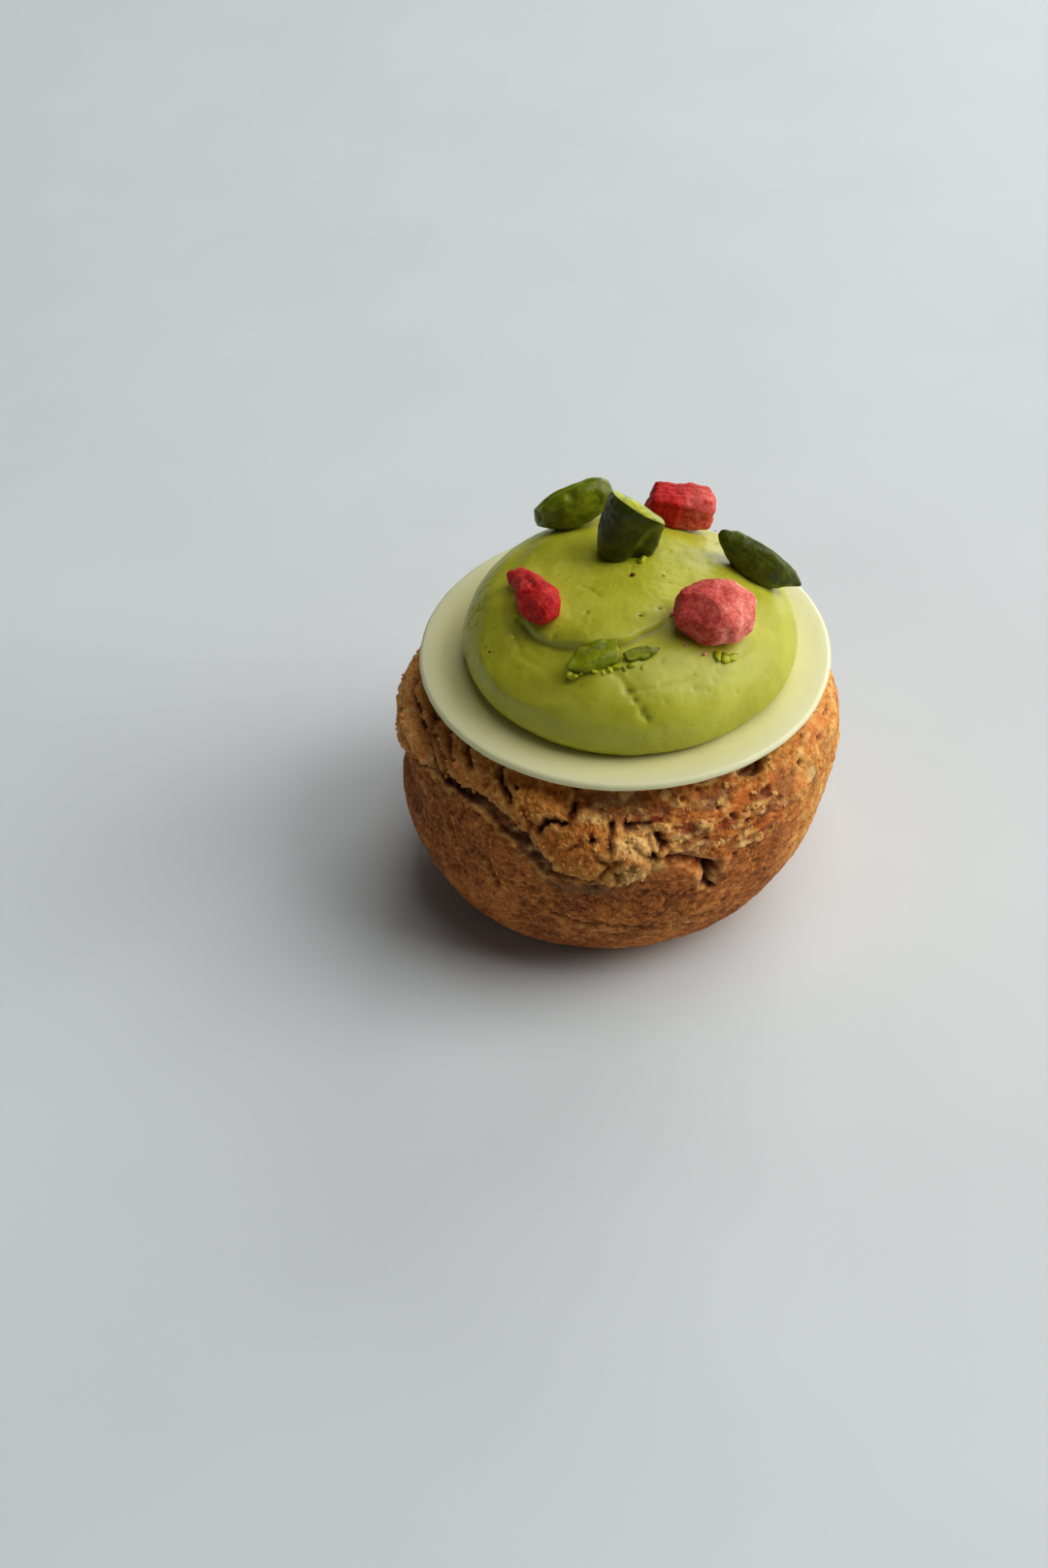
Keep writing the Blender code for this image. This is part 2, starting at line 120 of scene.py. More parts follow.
def turnedSurface(profile, angle):  # points of a turned profile, ring by ring, and the ways they face
    slope = np.gradient(profile, axis=0)
    slope /= np.linalg.norm(slope, axis=1)[:, None]
    cosine, sine = np.cos(angle), np.sin(angle)
    points = np.stack([profile[:, :1] * cosine, profile[:, :1] * sine, profile[:, 1:] + 0 * angle], axis=-1)
    ways = np.stack([-slope[:, 1:] * cosine, -slope[:, 1:] * sine, slope[:, :1] + 0 * angle], axis=-1)
    return points.reshape(-1, 3), ways.reshape(-1, 3)


def turnedFaces(rows, columns):  # rings of points from top to bottom, closed by one point at each end
    ring = np.arange(rows * columns).reshape(rows, columns)
    nextRing = np.roll(ring, -1, axis=1)
    sides = np.stack([ring[:-1], ring[1:], nextRing[1:], nextRing[:-1]], axis=-1).reshape(-1, 4)
    top, bottom = rows * columns, rows * columns + 1
    faces = sides.tolist()
    faces += [(top, a, b) for a, b in zip(ring[0].tolist(), nextRing[0].tolist())]
    faces += [(bottom, b, a) for a, b in zip(ring[-1].tolist(), nextRing[-1].tolist())]
    return faces


def blurred(grid, times):  # grid of rings by columns
    for _ in range(times):
        grid = (grid + np.roll(grid, 1, axis=1) + np.roll(grid, -1, axis=1)) / 3
        padded = np.vstack([grid[:1], grid, grid[-1:]])
        grid = (padded[:-2] + padded[1:-1] + padded[2:]) / 3
    return grid


def makePiece(name, points, faces, material, slot, masks=None, replaced=()):
    mesh = bpy.data.meshes.new(name)
    mesh.from_pydata((points * mm).tolist(), [], faces)
    mesh.update()
    mesh.shade_smooth()
    for mask, values in (masks or {}).items():
        layer = mesh.attributes.new(mask, "FLOAT", "POINT")
        layer.data.foreach_set("value", np.asarray(values, np.float32))
    mesh.materials.append(material)
    piece = bpy.data.objects.new(name, mesh)
    bpy.context.scene.collection.objects.link(piece)
    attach(piece, "root")
    if replaced:
        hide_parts(*replaced)
    print(name, len(mesh.polygons), "faces")


# Small helpers for materials. Colours are given as they look on screen, 0 to 255

def colour(red, green, blue):
    linear = []
    for value in (red, green, blue):
        share = value / 255
        linear.append(share / 12.92 if share <= 0.04045 else ((share + 0.055) / 1.055) ** 2.4)
    return (*linear, 1)


class Finish:  # a Principled material and the few kinds of node that the finishes here are made from
    def __init__(self, name, **settings):
        self.material = bpy.data.materials.new(name)
        self.material.use_nodes = True
        self.tree = self.material.node_tree
        self.shader = self.tree.nodes["Principled BSDF"]
        self.coordinates = self.tree.nodes.new("ShaderNodeTexCoord").outputs["Object"]
        for socket, value in settings.items():
            self.shader.inputs[socket].default_value = value

    def link(self, source, target):
        if hasattr(source, "is_output"):
            self.tree.links.new(source, target)
        else:
            target.default_value = source

    def mask(self, name):
        node = self.tree.nodes.new("ShaderNodeAttribute")
        node.attribute_name = name
        return node.outputs["Fac"]

    def noise(self, size, detail=3, stretch=(1, 1, 1)):  # size of a spot in mm
        node = self.tree.nodes.new("ShaderNodeTexNoise")
        node.inputs["Scale"].default_value = 1 / (size * mm)
        node.inputs["Detail"].default_value = detail
        if stretch == (1, 1, 1):
            self.link(self.coordinates, node.inputs["Vector"])
        else:
            mapping = self.tree.nodes.new("ShaderNodeMapping")
            mapping.inputs["Scale"].default_value = [1 / share for share in stretch]
            self.link(self.coordinates, mapping.inputs["Vector"])
            self.link(mapping.outputs["Vector"], node.inputs["Vector"])
        return node.outputs["Fac"]

    def cells(self, size):
        node = self.tree.nodes.new("ShaderNodeTexVoronoi")
        node.inputs["Scale"].default_value = 1 / (size * mm)
        self.link(self.coordinates, node.inputs["Vector"])
        return node.outputs["Distance"]

    def math(self, operation, first, second):
        node = self.tree.nodes.new("ShaderNodeMath")
        node.operation = operation
        self.link(first, node.inputs[0])
        self.link(second, node.inputs[1])
        return node.outputs["Value"]

    def times(self, first, second):
        return self.math("MULTIPLY", first, second)

    def blend(self, first, second, share):
        return self.math("ADD", self.times(first, 1 - share), self.times(second, share))

    def fade(self, value, low, high):  # 0 below low, 1 above high
        node = self.tree.nodes.new("ShaderNodeMapRange")
        node.interpolation_type = "SMOOTHSTEP"
        self.link(value, node.inputs["Value"])
        node.inputs["From Min"].default_value = low
        node.inputs["From Max"].default_value = high
        return node.outputs["Result"]

    def ramp(self, value, stops):  # stops: (place, colour)
        node = self.tree.nodes.new("ShaderNodeValToRGB")
        elements = node.color_ramp.elements
        while len(elements) < len(stops):
            elements.new(0.5)
        for element, (place, shade) in zip(elements, stops):
            element.position = place
            element.color = colour(*shade)
        self.link(value, node.inputs["Fac"])
        return node.outputs["Color"]

    def mix(self, share, first, second):
        node = self.tree.nodes.new("ShaderNodeMix")
        node.data_type = "RGBA"
        self.link(share, node.inputs[0])
        self.link(first, node.inputs[6])
        self.link(colour(*second) if isinstance(second, tuple) else second, node.inputs[7])
        return node.outputs[2]

    def cover(self, shade, coat, mask, share):  # a share of a colour, laid over where the mask is
        return self.mix(self.times(mask, share), shade, coat)

    def done(self, shade, height, depth, strength):  # takes the colour and a height for the bump, depth in mm
        self.link(shade, self.shader.inputs["Base Color"])
        node = self.tree.nodes.new("ShaderNodeBump")
        node.inputs["Strength"].default_value = strength
        node.inputs["Distance"].default_value = depth * mm
        self.link(height, node.inputs["Height"])
        self.link(node.outputs["Normal"], self.shader.inputs["Normal"])
        return self.material


# Choux: a leaning wall, its craquelin crust, and the torn side

choux = {
    "radius": 30.3,
    "widestZ": 24.2,
    "footRadius": 16.0,
    "footPower": 2.27,
    "crownZ": 37.0,
    "crownPower": 2.35,
    "seatZ": 35.1,
    "leanFoot": -1.4,
    "leanSeat": 1.5,
    "columns": 640,
    "rings": 154,
    "finerAbove": 15.0,  # the rings lie closer above this height
    "crustThickness": 1.3,
    "crustDroop": 0.9,  # how far the crust's edge sags
    "leftReach": 29.8,  # the wall is pressed in past this, so that the crust stays in the box
    "crustEdge": 0.55,
    # angles where the crust is painted paler: painted light for the dimly lit left side
    "paintedLightSide": (100, 160, 208, 236),
    "lumps": (6.5, 0.55),  # size and height
    "flakes": (0.24, 0.62),  # step and height
    "flakeLayers": [(1, 3.4, 6.1), (0.45, 1.5, 3.3)],
    "crumbs": (1.3, 0.36),
    "sand": (0.7, 0.16),
    "cracks": (6.5, 0.35),  # size and depth, here and for the next three
    "smallCracks": (2.6, 0.25),
    "holes": (1.6, 0.45),
    "pores": (0.9, 0.3),
    "wrinkles": 0.24,
    "bodyLayers": [(0.25, 6.5), (0.12, 2.2, 3.0, (1.5, 1.5, 0.7)), (0.14, 0.9, 1.0, (1.8, 1.8, 0.8))],
    "gapBelow": 33,
    "shoulderSide": (308, 330),  # angles, here and for the other sides
    "rightBack": (50, 10),
    "tornSide": (250, 256, 338, 360),  # where it starts, is full, fades and ends
    "tornShreds": 0.62,
    "shredLayers": [(1, 3.2, 15.0, (1.9, 1.9, 0.6)), (0.5, 1.3, 17.0, (1.9, 1.9, 0.7))],
    "shreddedSide": (190, 204, 248, 258),
    "shreddedReach": (5.5, 2.0),  # mm under the crust's edge
    "wanderUp": [(0.6, 2.4, 3.1), (0.4, 0.95, 7.7)],
    "wanderAside": [(0.6, 2.2, 11.3), (0.35, 0.9, 5.9)],
}

# A place on the wall is (angle in degrees, height in mm along the wall)
crustOutline = [  # the crust is what lies inside; it closes above the wall's top
    (58, 50), (78, 40), (96, 31.5), (122, 28), (150, 30.4), (170, 27.4), (180, 26.1), (193, 26.7),
    (201, 27.6), (206, 28.9), (217, 30.5), (227, 31.2), (236, 30.1), (242, 28.3), (245, 26.7),
    (249, 24.8), (251, 23.7), (256, 23.2), (259, 23.0), (263, 22.3), (267, 21.9), (269, 22.2),
    (272, 23.0), (275, 25.0), (274, 26.5), (277, 28.0), (275, 29.9), (273, 31.0), (270, 31.7),
    (268, 31.2), (267, 32.2), (265.8, 33.2), (264.6, 32.4), (264.0, 31.2), (263.3, 32.2), (262.4, 33.4),
    (260, 34.4), (258, 35.4), (256, 34.6), (254, 33.5), (252.4, 33.6), (252.8, 36.5), (251.5, 38.4),
    (250, 39.4), (249, 50),
]
gapUnderCrust = [  # angle and width
    (185, 0), (195, 0.3), (208, 0.9), (222, 2.2), (236, 3.3), (249, 2.8), (260, 1.5), (272, 1), (278, 0.4),
]
seams = [  # depth, width, then the places along it
    (1.5, 0.65, [(170, 35.4), (176, 34.9), (181, 34.1), (186, 33.6), (197, 33.3), (203, 32.3), (209, 30.8),
                 (213, 29.8)]),
    (1.4, 0.55, [(188, 37.4), (193, 36.2), (197, 35.6), (199, 34.2), (203, 33.8), (207, 33.1), (213, 31.6),
                 (218, 30.9)]),
    (0.7, 0.5, [(176, 31.8), (184, 30.9), (191, 30.4), (198, 29.6), (204, 28.8)]),
    (1.0, 0.45, [(198, 38.0), (204, 36.5), (209, 34.7), (213, 33.6)]),
    (1.0, 0.5, [(206, 38.6), (212, 37.8), (217, 36.4), (220, 35.0)]),
    (0.9, 0.38, [(264.0, 31.4), (263.7, 30.2), (263.8, 28.6)]),
    (1.0, 0.5, [(214, 40.0), (220, 39.0), (226, 38.6), (231, 39.0)]),
    (1.4, 0.5, [(229, 39.5), (229, 37.4), (230, 36.0), (233, 34.5), (236, 33.4)]),
    (1.9, 0.6, [(246, 30.3), (247, 31.1), (249, 31.7), (251, 31.8)]),
    (1.1, 0.45, [(251.6, 31.6), (252.4, 33.6), (252.9, 35.6)]),
    (0.5, 0.3, [(261, 27.0), (263, 26.8), (265, 26.6)]),
    (0.6, 0.32, [(260, 24.3), (262, 25.1), (264, 25.8), (265.5, 26.6)]),
    (0.9, 0.5, [(266, 24.6), (268, 25.1), (269, 25.8)]),
    (0.5, 0.28, [(269, 28.5), (271, 28.0), (273, 27.7)]),
    (0.7, 0.4, [(240, 33.0), (243, 31.0), (242, 29.6)]),
    (1.3, 0.6, [(275, 25.9), (278, 25.4), (281, 25.0), (287, 23.3)]),
    (1.7, 0.75, [(287.8, 22.6), (289.2, 21.6), (290.6, 20.9)]),
    (1.3, 0.5, [(289.6, 21.4), (289.9, 19.4), (291.2, 17.6)]),
    (0.8, 0.35, [(289.9, 19.4), (288.7, 18.4)]),
    (0.7, 0.35, [(230, 21.6), (232, 20.9), (234, 18.9), (235, 16.5)]),
    (0.65, 0.25, [(250, 13.9), (257, 12.8), (265, 12.5), (273, 11.6), (283, 11.4), (294, 11.2)]),
    (0.5, 0.25, [(256, 10.6), (268, 10.2), (278, 10.6), (288, 10.0), (300, 10.4)]),
    (0.4, 0.25, [(270, 8.0), (282, 7.6), (296, 8.0)]),
    (0.4, 0.3, [(218, 24.0), (222, 20.5), (224, 16.0)]),
    (0.35, 0.25, [(264, 18.0), (266, 15.5)]),
    (0.35, 0.25, [(278, 19.5), (280, 15.5)]),
    (0.9, 0.8, [(98, 35.0), (122, 36.5), (146, 35.0)]),
    (0.9, 0.8, [(112, 38.0), (114, 31.0)]),
]
dents = [  # place, half width, half height and depth, less than 0 for a bulge
    ((264, 37.2), 5.0, 2.6, 0.5), ((286.4, 21.0), 0.8, 1.1, -0.45), ((293.4, 21.4), 0.6, 1.4, -0.45),
    ((307.5, 36.7), 2.6, 1.2, 1.7), ((297, 30.0), 0.5, 0.9, 0.9), ((284, 35.8), 0.4, 0.35, 0.7),
    ((293, 32.5), 0.4, 0.4, 0.7), ((296, 22.5), 0.5, 0.4, 0.7), ((185, 21.6), 11.0, 4.0, 1.3),
    ((322, 31.4), 0.55, 0.6, 1.5), ((334, 31.6), 1.1, 0.5, 0.7), ((344, 32.2), 1.8, 0.5, 0.8),
    ((322, 18.1), 0.7, 0.5, 0.8), ((236, 35.4), 0.6, 0.4, 1.1), ((259, 29.4), 0.5, 0.45, 1.0),
    ((281, 30.3), 1.5, 0.8, 0.6), ((285, 30.0), 1.0, 0.7, 0.6), ((294, 29.2), 1.6, 0.8, 0.6),
    ((298, 34.6), 1.4, 0.6, 0.5), ((300, 28.2), 0.8, 0.6, 0.7), ((308, 31.2), 0.6, 1.1, 0.6),
    ((35, 24), 2.0, 3.0, 1.0), ((68, 33), 4.0, 2.0, 1.0), ((187, 31.2), 9.0, 4.2, -0.9),
    ((166, 36.6), 1.3, 0.9, -1.7), ((174.5, 37.6), 1.8, 1.2, 0.9), ((263, 26), 5.5, 3.0, -0.6),
    ((242, 33.5), 4.5, 3.6, -0.6), ((288.6, 30.5), 0.9, 0.8, -0.7), ((302.5, 29.9), 1.4, 0.4, -0.6),
    ((303.4, 24.0), 0.8, 0.5, -0.5), ((313.2, 36.2), 1.0, 0.6, -0.9), ((300.6, 37.2), 1.0, 0.5, -0.9),
    ((276, 31.4), 1.7, 0.7, -0.7),
]
stains = {  # place, half width and half height of each patch of colour
    "red": [
        ((285, 29.6), 1.7, 1.3), ((281.5, 31.0), 1.2, 0.8), ((294, 29.1), 1.6, 0.9),
        ((297, 29.4), 0.6, 1.2), ((309, 31.4), 0.6, 2.2), ((306, 25.2), 0.9, 0.7),
        ((308.5, 22.2), 0.7, 0.5), ((275.5, 32.6), 1.4, 0.6),
    ],
    "grey": [
        ((264, 37.0), 5.5, 1.6), ((291, 33.9), 2.8, 1.2), ((296, 34.7), 1.5, 0.6),
        ((299, 25.5), 1.7, 0.7), ((288, 26.6), 1.6, 0.8), ((305, 28.3), 0.8, 0.5),
        ((313, 26.8), 1.0, 0.7), ((306.5, 36.0), 2.2, 0.8), ((325, 28.2), 1.1, 2.0),
        ((282, 26.6), 2.4, 0.8), ((258, 20.3), 4.2, 1.1), ((290, 20.6), 1.3, 1.8),
        ((272, 34.6), 3.0, 1.3),
    ],
    "gold": [
        ((288.6, 30.5), 1.1, 0.9), ((302.5, 29.9), 1.6, 0.5), ((303.4, 24.0), 0.9, 0.6),
        ((299, 24.1), 1.3, 0.4), ((282, 35.1), 0.9, 0.7), ((280, 28.7), 0.8, 1.0),
        ((286, 27.4), 1.1, 0.4), ((300.6, 37.2), 1.3, 0.6), ((313.2, 36.2), 1.2, 0.7),
        ((293, 37.6), 2.4, 0.5), ((276, 31.4), 1.8, 0.7), ((270, 29.4), 3.0, 2.2),
        ((271, 24.6), 3.0, 1.6), ((259, 33.6), 2.2, 1.2), ((293, 25.6), 1.2, 0.4),
    ],
    "orange": [
        ((282, 23.4), 1.4, 0.8), ((286.3, 21.8), 0.8, 1.5), ((293.2, 21.4), 0.7, 1.6),
        ((301, 33.0), 2.2, 0.9), ((310.5, 32.4), 1.1, 1.6), ((305, 25.8), 0.8, 0.7),
        ((317, 23.8), 0.8, 0.8), ((321, 18.4), 0.6, 0.5), ((324, 22.4), 0.5, 1.4),
        ((340, 33.0), 1.6, 0.8), ((345, 35.5), 1.0, 1.0), ((288, 35.4), 2.0, 0.6),
    ],
}

# Where the disc lies, how far out the wall is kept under it, and from where crumbs lie
discSeat = {"middle": (1.7, 0, 36.6), "tilt": (1.04, 0.33, 0), "reach": 28.5, "crumbsFrom": 26}
discTilt = Euler([math.radians(turn) for turn in discSeat["tilt"]]).to_matrix()
discPlace = Matrix.Translation(discSeat["middle"]) @ discTilt.to_4x4()


def wallOffset(angle, height, start):
    turn = (angle - start[0] + 180) % 360 - 180
    return np.radians(turn) * choux["radius"], height - start[1]


def spotOnWall(angle, height, place, halfWidth, halfHeight):
    x, y = wallOffset(angle, height, place)
    return np.exp(-(((x / halfWidth) ** 2 + (y / halfHeight) ** 2) ** 2))


def chouxProfile():  # from the seat of the disc out to the widest place and in to the foot
    widest, radius, finer = choux["widestZ"], choux["radius"], choux["finerAbove"]
    rise, reach = choux["crownZ"] - widest, radius - choux["footRadius"]
    crownShare, footShare = 2 / choux["crownPower"], 2 / choux["footPower"]
    seatTurn = math.asin(((choux["seatZ"] - widest) / rise) ** (1 / crownShare))
    turn = np.linspace(seatTurn, 0, 200)
    crown = np.c_[radius * np.cos(turn) ** crownShare, widest + rise * np.sin(turn) ** crownShare]
    turn = np.linspace(0, math.pi / 2, 300)[1:]
    inset = reach * np.maximum(0, np.cos(turn)) ** footShare
    foot = np.c_[choux["footRadius"] + inset, widest * (1 - np.sin(turn) ** footShare)]
    profile = np.vstack([crown, foot])
    return evenly(profile, choux["rings"], 1 + smoothStep(finer - 4, finer, profile[1:, 1]))


def discLift(x, y):  # how much higher the tilted disc lies here than at its middle
    across = discTilt @ Vector((0, 0, 1))
    return -(across.x * (x - discPlace.translation.x) + across.y * (y - discPlace.translation.y)) / across.z


def fromDiscMiddle(points):
    return np.hypot(points[:, 0] - discSeat["middle"][0], points[:, 1])


def crustRelief(places):
    bent = bentPlaces(places, 2.6, (1.1, 5.3, 9.7))
    relief = choux["crustThickness"] + choux["lumps"][1] * noiseAt(places, choux["lumps"][0])
    relief += choux["flakes"][1] * terraced(layered(bent, choux["flakeLayers"]), choux["flakes"][0])
    for kind, where, shift in (("crumbs", bent, 1.3), ("sand", places, 2.9)):
        size, rise = choux[kind]
        relief += rise * (0.45 - cellsAt(where, size, shift)[0])
    for kind, shift, width, worn in (("cracks", 4.2, 0.08, patches(places, 9.0, 6.6, -0.05, 0.25)),
                                     ("smallCracks", 8.4, 0.12, patches(places, 4.0, 2.2, 0.0, 0.25))):
        size, depth = choux[kind]
        relief -= depth * smoothStep(width, 0, cellsAt(bent, size, shift)[1]) * worn
    size, depth = choux["holes"]
    return relief - depth * patches(bent, size, 14.2, 0.34, 0.5)


def bodyRelief(places):
    lines = creases(places, 3.0, 0.05, 9.1, (1.6, 1.6, 0.35)) * patches(places, 5.0, 1.7, 0.05, 0.3)
    lines += 0.7 * creases(places, 1.7, 0.1, 19.1, (2.2, 2.2, 0.4)) * patches(places, 4.0, 2.7, -0.1, 0.25)
    cracks = creases(places, 4.5, 0.03, 4.1, (0.6, 0.6, 1.4)) * patches(places, 6.0, 8.7, 0.1, 0.35)
    size, depth = choux["pores"]
    pores = depth * patches(places, size, 12.5, 0.38, 0.6, (1.3, 1.3, 0.8))
    return layered(places, choux["bodyLayers"]) - choux["wrinkles"] * lines - 0.3 * cracks - pores


def tornRelief(places, shoulder):
    bent = bentPlaces(places, 2.0, (2.1, 4.3, 8.7))
    shreds = layered(bent, choux["shredLayers"])
    relief = choux["tornShreds"] * terraced(shreds, 0.28) + 0.24 * noiseAt(bent, 0.85, 19.0, (1.4, 1.4, 0.8))
    relief += 0.16 * (0.45 - cellsAt(places, 0.7, 7.5)[0])
    net = 0.5 - np.abs(noiseAt(bent, 3.6, 21.0)) - 0.5 * np.abs(noiseAt(bent, 1.7, 23.0))
    return 0.2 + (1 - 0.8 * shoulder) * relief + 0.35 * shoulder * net, shreds


def wallAreas(angle, angleNow, heightNow):  # how much each point belongs to each area, 0 to 1
    across = math.radians(1) * choux["radius"]
    outline = [(turn * across, level) for turn, level in crustOutline]
    inside = insideOutline(angleNow * across, heightNow - choux["crustDroop"], outline)
    crust = smoothStep(0, choux["crustEdge"], inside)
    gapWidth = np.interp(angle, *zip(*gapUnderCrust), left=0, right=0)
    gap = (1 - crust) * (heightNow < choux["gapBelow"]) * (inside > -6)
    gap *= smoothStep(gapWidth + 0.5, gapWidth - 0.3, -inside) * smoothStep(0, 0.4, gapWidth)
    rightBack = smoothStep(*choux["rightBack"], angle)
    torn = band(angle, *choux["tornSide"]) * (1 - crust)
    torn *= smoothStep(23, 25.5, heightNow + 3 * smoothStep(300, 330, angle))
    shredded = (1 - crust) * smoothStep(*choux["shreddedReach"], -inside)
    shredded *= band(angle, *choux["shreddedSide"])
    return {
        "inside": inside,
        "crust": crust,
        "gap": gap,
        "torn": torn,
        "shredded": np.maximum(torn, 0.65 * shredded),
        "rightBack": rightBack,
        "shoulder": np.maximum(smoothStep(*choux["shoulderSide"], angle), rightBack),
    }


def wallRelief(places, angle, angleNow, heightNow, areas):  # mm outwards, the shreds, and how near a seam is
    crust = areas["crust"]
    thinEdge = 1 - 0.4 * smoothStep(3.0, 0.3, areas["inside"]) * smoothStep(222, 205, angle)
    out = crust * thinEdge * crustRelief(places) + (1 - crust) * bodyRelief(places)
    tornOut, shreds = tornRelief(places, areas["shoulder"])
    out += areas["shredded"] * tornOut
    out -= areas["gap"] * (0.75 + 0.5 * noiseAt(places, 1.3, 2.7))
    nearSeam = 0 * out
    for depth, width, seam in seams:
        x, y = wallOffset(angleNow, heightNow, seam[0])
        path = [wallOffset(turn, level, seam[0]) for turn, level in seam]
        away = pathDistance(x, y, path) / width
        out -= depth * np.exp(-(away**2))
        nearSeam = np.maximum(nearSeam, min(1, depth) * np.exp(-((away / 1.9) ** 2)))
    for middle, halfWidth, halfHeight, depth in dents:
        out -= depth * spotOnWall(angleNow, heightNow, middle, halfWidth, halfHeight)
    return out * smoothStep(0, 5, places[:, 2]), shreds, nearSeam


def settledWall(places, ways, out, areas):  # leans the wall, keeps its left in reach and seats the disc on it
    share = places[:, 2] / choux["seatZ"]
    lean = choux["leanFoot"] + (choux["leanSeat"] - choux["leanFoot"]) * share
    room = (places[:, 0] + lean + choux["leftReach"]) / np.maximum(0.5, -ways[:, 0])
    out = out - 0.9 * np.maximum(0, out - room) * (ways[:, 0] < -0.5)
    points = places + ways * out[:, None]
    points[:, 2] -= areas["crust"] * smoothStep(3.2, 0.4, areas["inside"]) * choux["crustDroop"]
    points[:, 0] += lean
    points[:, 2] += discLift(points[:, 0], points[:, 1]) * smoothStep(0.5, 1.0, share)
    ceiling = choux["seatZ"] + discLift(points[:, 0], points[:, 1])
    underDisc = fromDiscMiddle(points) < discSeat["reach"]
    points[:, 2] = np.where(underDisc, np.minimum(points[:, 2], ceiling), points[:, 2])
    points[:, 2] = np.maximum(points[:, 2], 0)
    return points, out


def wallMasks(places, angle, height, angleNow, heightNow, areas, grid, shreds, nearSeam):
    crust, gap, shoulder = areas["crust"], areas["gap"], areas["shoulder"]
    hollow, fineHollow = ((blurred(grid, times) - grid).ravel() for times in (10, 3))
    # Painted light: the right side, where the lamps shine, gets a paler golden colour, and a painted sheen
    # runs along the bottom edge there
    lowEdgeSheen = smoothStep(3.0, 1.2, height) * np.maximum(smoothStep(255, 290, angle), areas["rightBack"])
    # Painted shade: hollows in the relief, the gap under the crust's lip and the crust beside its seams are
    # darkened
    shade = 0.8 * gap * smoothStep(0.1, -0.3, shreds) + 0.55 * crust * nearSeam
    masks = {
        "crust": crust,
        # Painted light: the crust is paler on its dimly lit left side
        "paintedLightCrust": crust * band(angle, *choux["paintedLightSide"]),
        "torn": areas["torn"],
        "litSideGolden": np.maximum(shoulder * smoothStep(4, 20, height), lowEdgeSheen),
        "shadeAndDarkSpecks": np.maximum(smoothStep(0.12, 0.75, hollow), shade),
        "tip": smoothStep(0.03, 0.22, -fineHollow) * smoothStep(-0.15, 0.3, -hollow),
    }
    scattered = {"red": (2.2, 0.2, 0.6 * (1 - shoulder)), "gold": (1.5, 0.28, 0.7),  # size, from, share
                 "grey": (2.8, 0.16, 0.6 - 0.3 * shoulder), "orange": (2.6, 0.16, 0.65)}
    for name, (size, low, share) in scattered.items():
        spread = patches(places, size, 30.0 + 10 * size, low, low + 0.22, (1.7, 1.7, 0.8))
        mask = areas["shredded"] * share * spread
        for middle, halfWidth, halfHeight in stains[name]:
            mask = np.maximum(mask, spotOnWall(angleNow, heightNow, middle, halfWidth, halfHeight))
        masks[name] = mask
    masks["grey"] = np.maximum(masks["grey"], 0.85 * gap)
    return {name: np.r_[values, 0, 0] for name, values in masks.items()}


def chouxWall():
    profile = chouxProfile()
    shape = (len(profile), choux["columns"])
    turns = np.linspace(0, 360, choux["columns"], endpoint=False)
    places, ways = turnedSurface(profile, np.radians(turns))
    angle = np.broadcast_to(turns, shape).ravel()
    radius, z = profile[:, :1], profile[:, 1:]
    height = np.broadcast_to(z + np.where(z > choux["widestZ"], choux["radius"] - radius, 0), shape).ravel()

    # ragged edges: every line on the wall is looked up at a place that wanders a little
    heightNow = height + layered(places, choux["wanderUp"])
    angleNow = (angle + np.degrees(layered(places, choux["wanderAside"]) / choux["radius"])) % 360

    areas = wallAreas(angle, angleNow, heightNow)
    out, shreds, nearSeam = wallRelief(places, angle, angleNow, heightNow, areas)
    points, out = settledWall(places, ways, out, areas)
    masks = wallMasks(places, angle, height, angleNow, heightNow, areas, out.reshape(shape), shreds, nearSeam)
    ends = np.array([[choux["leanSeat"], 0, choux["seatZ"]], [choux["leanFoot"], 0, 0]])
    return np.vstack([points, ends]), turnedFaces(*shape), masks, ways


chouxColours = {
    "body": [(0.38, (92, 44, 17)), (0.46, (146, 78, 32)), (0.53, (184, 105, 45)), (0.62, (222, 142, 68))],
    "crust": [(0.36, (152, 78, 28)), (0.46, (190, 108, 40)), (0.55, (214, 138, 56)), (0.66, (242, 178, 90))],
    # paler crust colours: painted light on the dimly lit left side
    "paintedLightCrust": [(0.38, (206, 112, 50)), (0.5, (250, 164, 84)), (0.62, (255, 210, 138))],
    "torn": [(0.36, (124, 56, 20)), (0.46, (172, 90, 34)), (0.55, (198, 122, 50)), (0.66, (230, 168, 84))],
    # paler golden colours: painted light on the lit right side and a painted sheen along its bottom edge
    "litSideGolden": [(0.36, (176, 92, 34)), (0.5, (212, 138, 58)), (0.66, (238, 188, 106))],
    "gold": (252, 210, 130),
    "orange": (216, 112, 34),
    "red": (150, 54, 14),
    "grey": (122, 92, 62),
    "tip": (246, 188, 106),
    "thread": (255, 214, 148),
    # dark red-brown for real dark specks, and painted shade in hollows, gaps, seams and between the crust's
    # grains
    "shadeAndDarkSpecks": (62, 24, 8),
}
# How strongly each patch is laid over, in this order
chouxPatches = {"orange": 0.7, "grey": 0.7, "red": 0.75, "gold": 0.7, "tip": 0.48, "shadeAndDarkSpecks": 0.9}


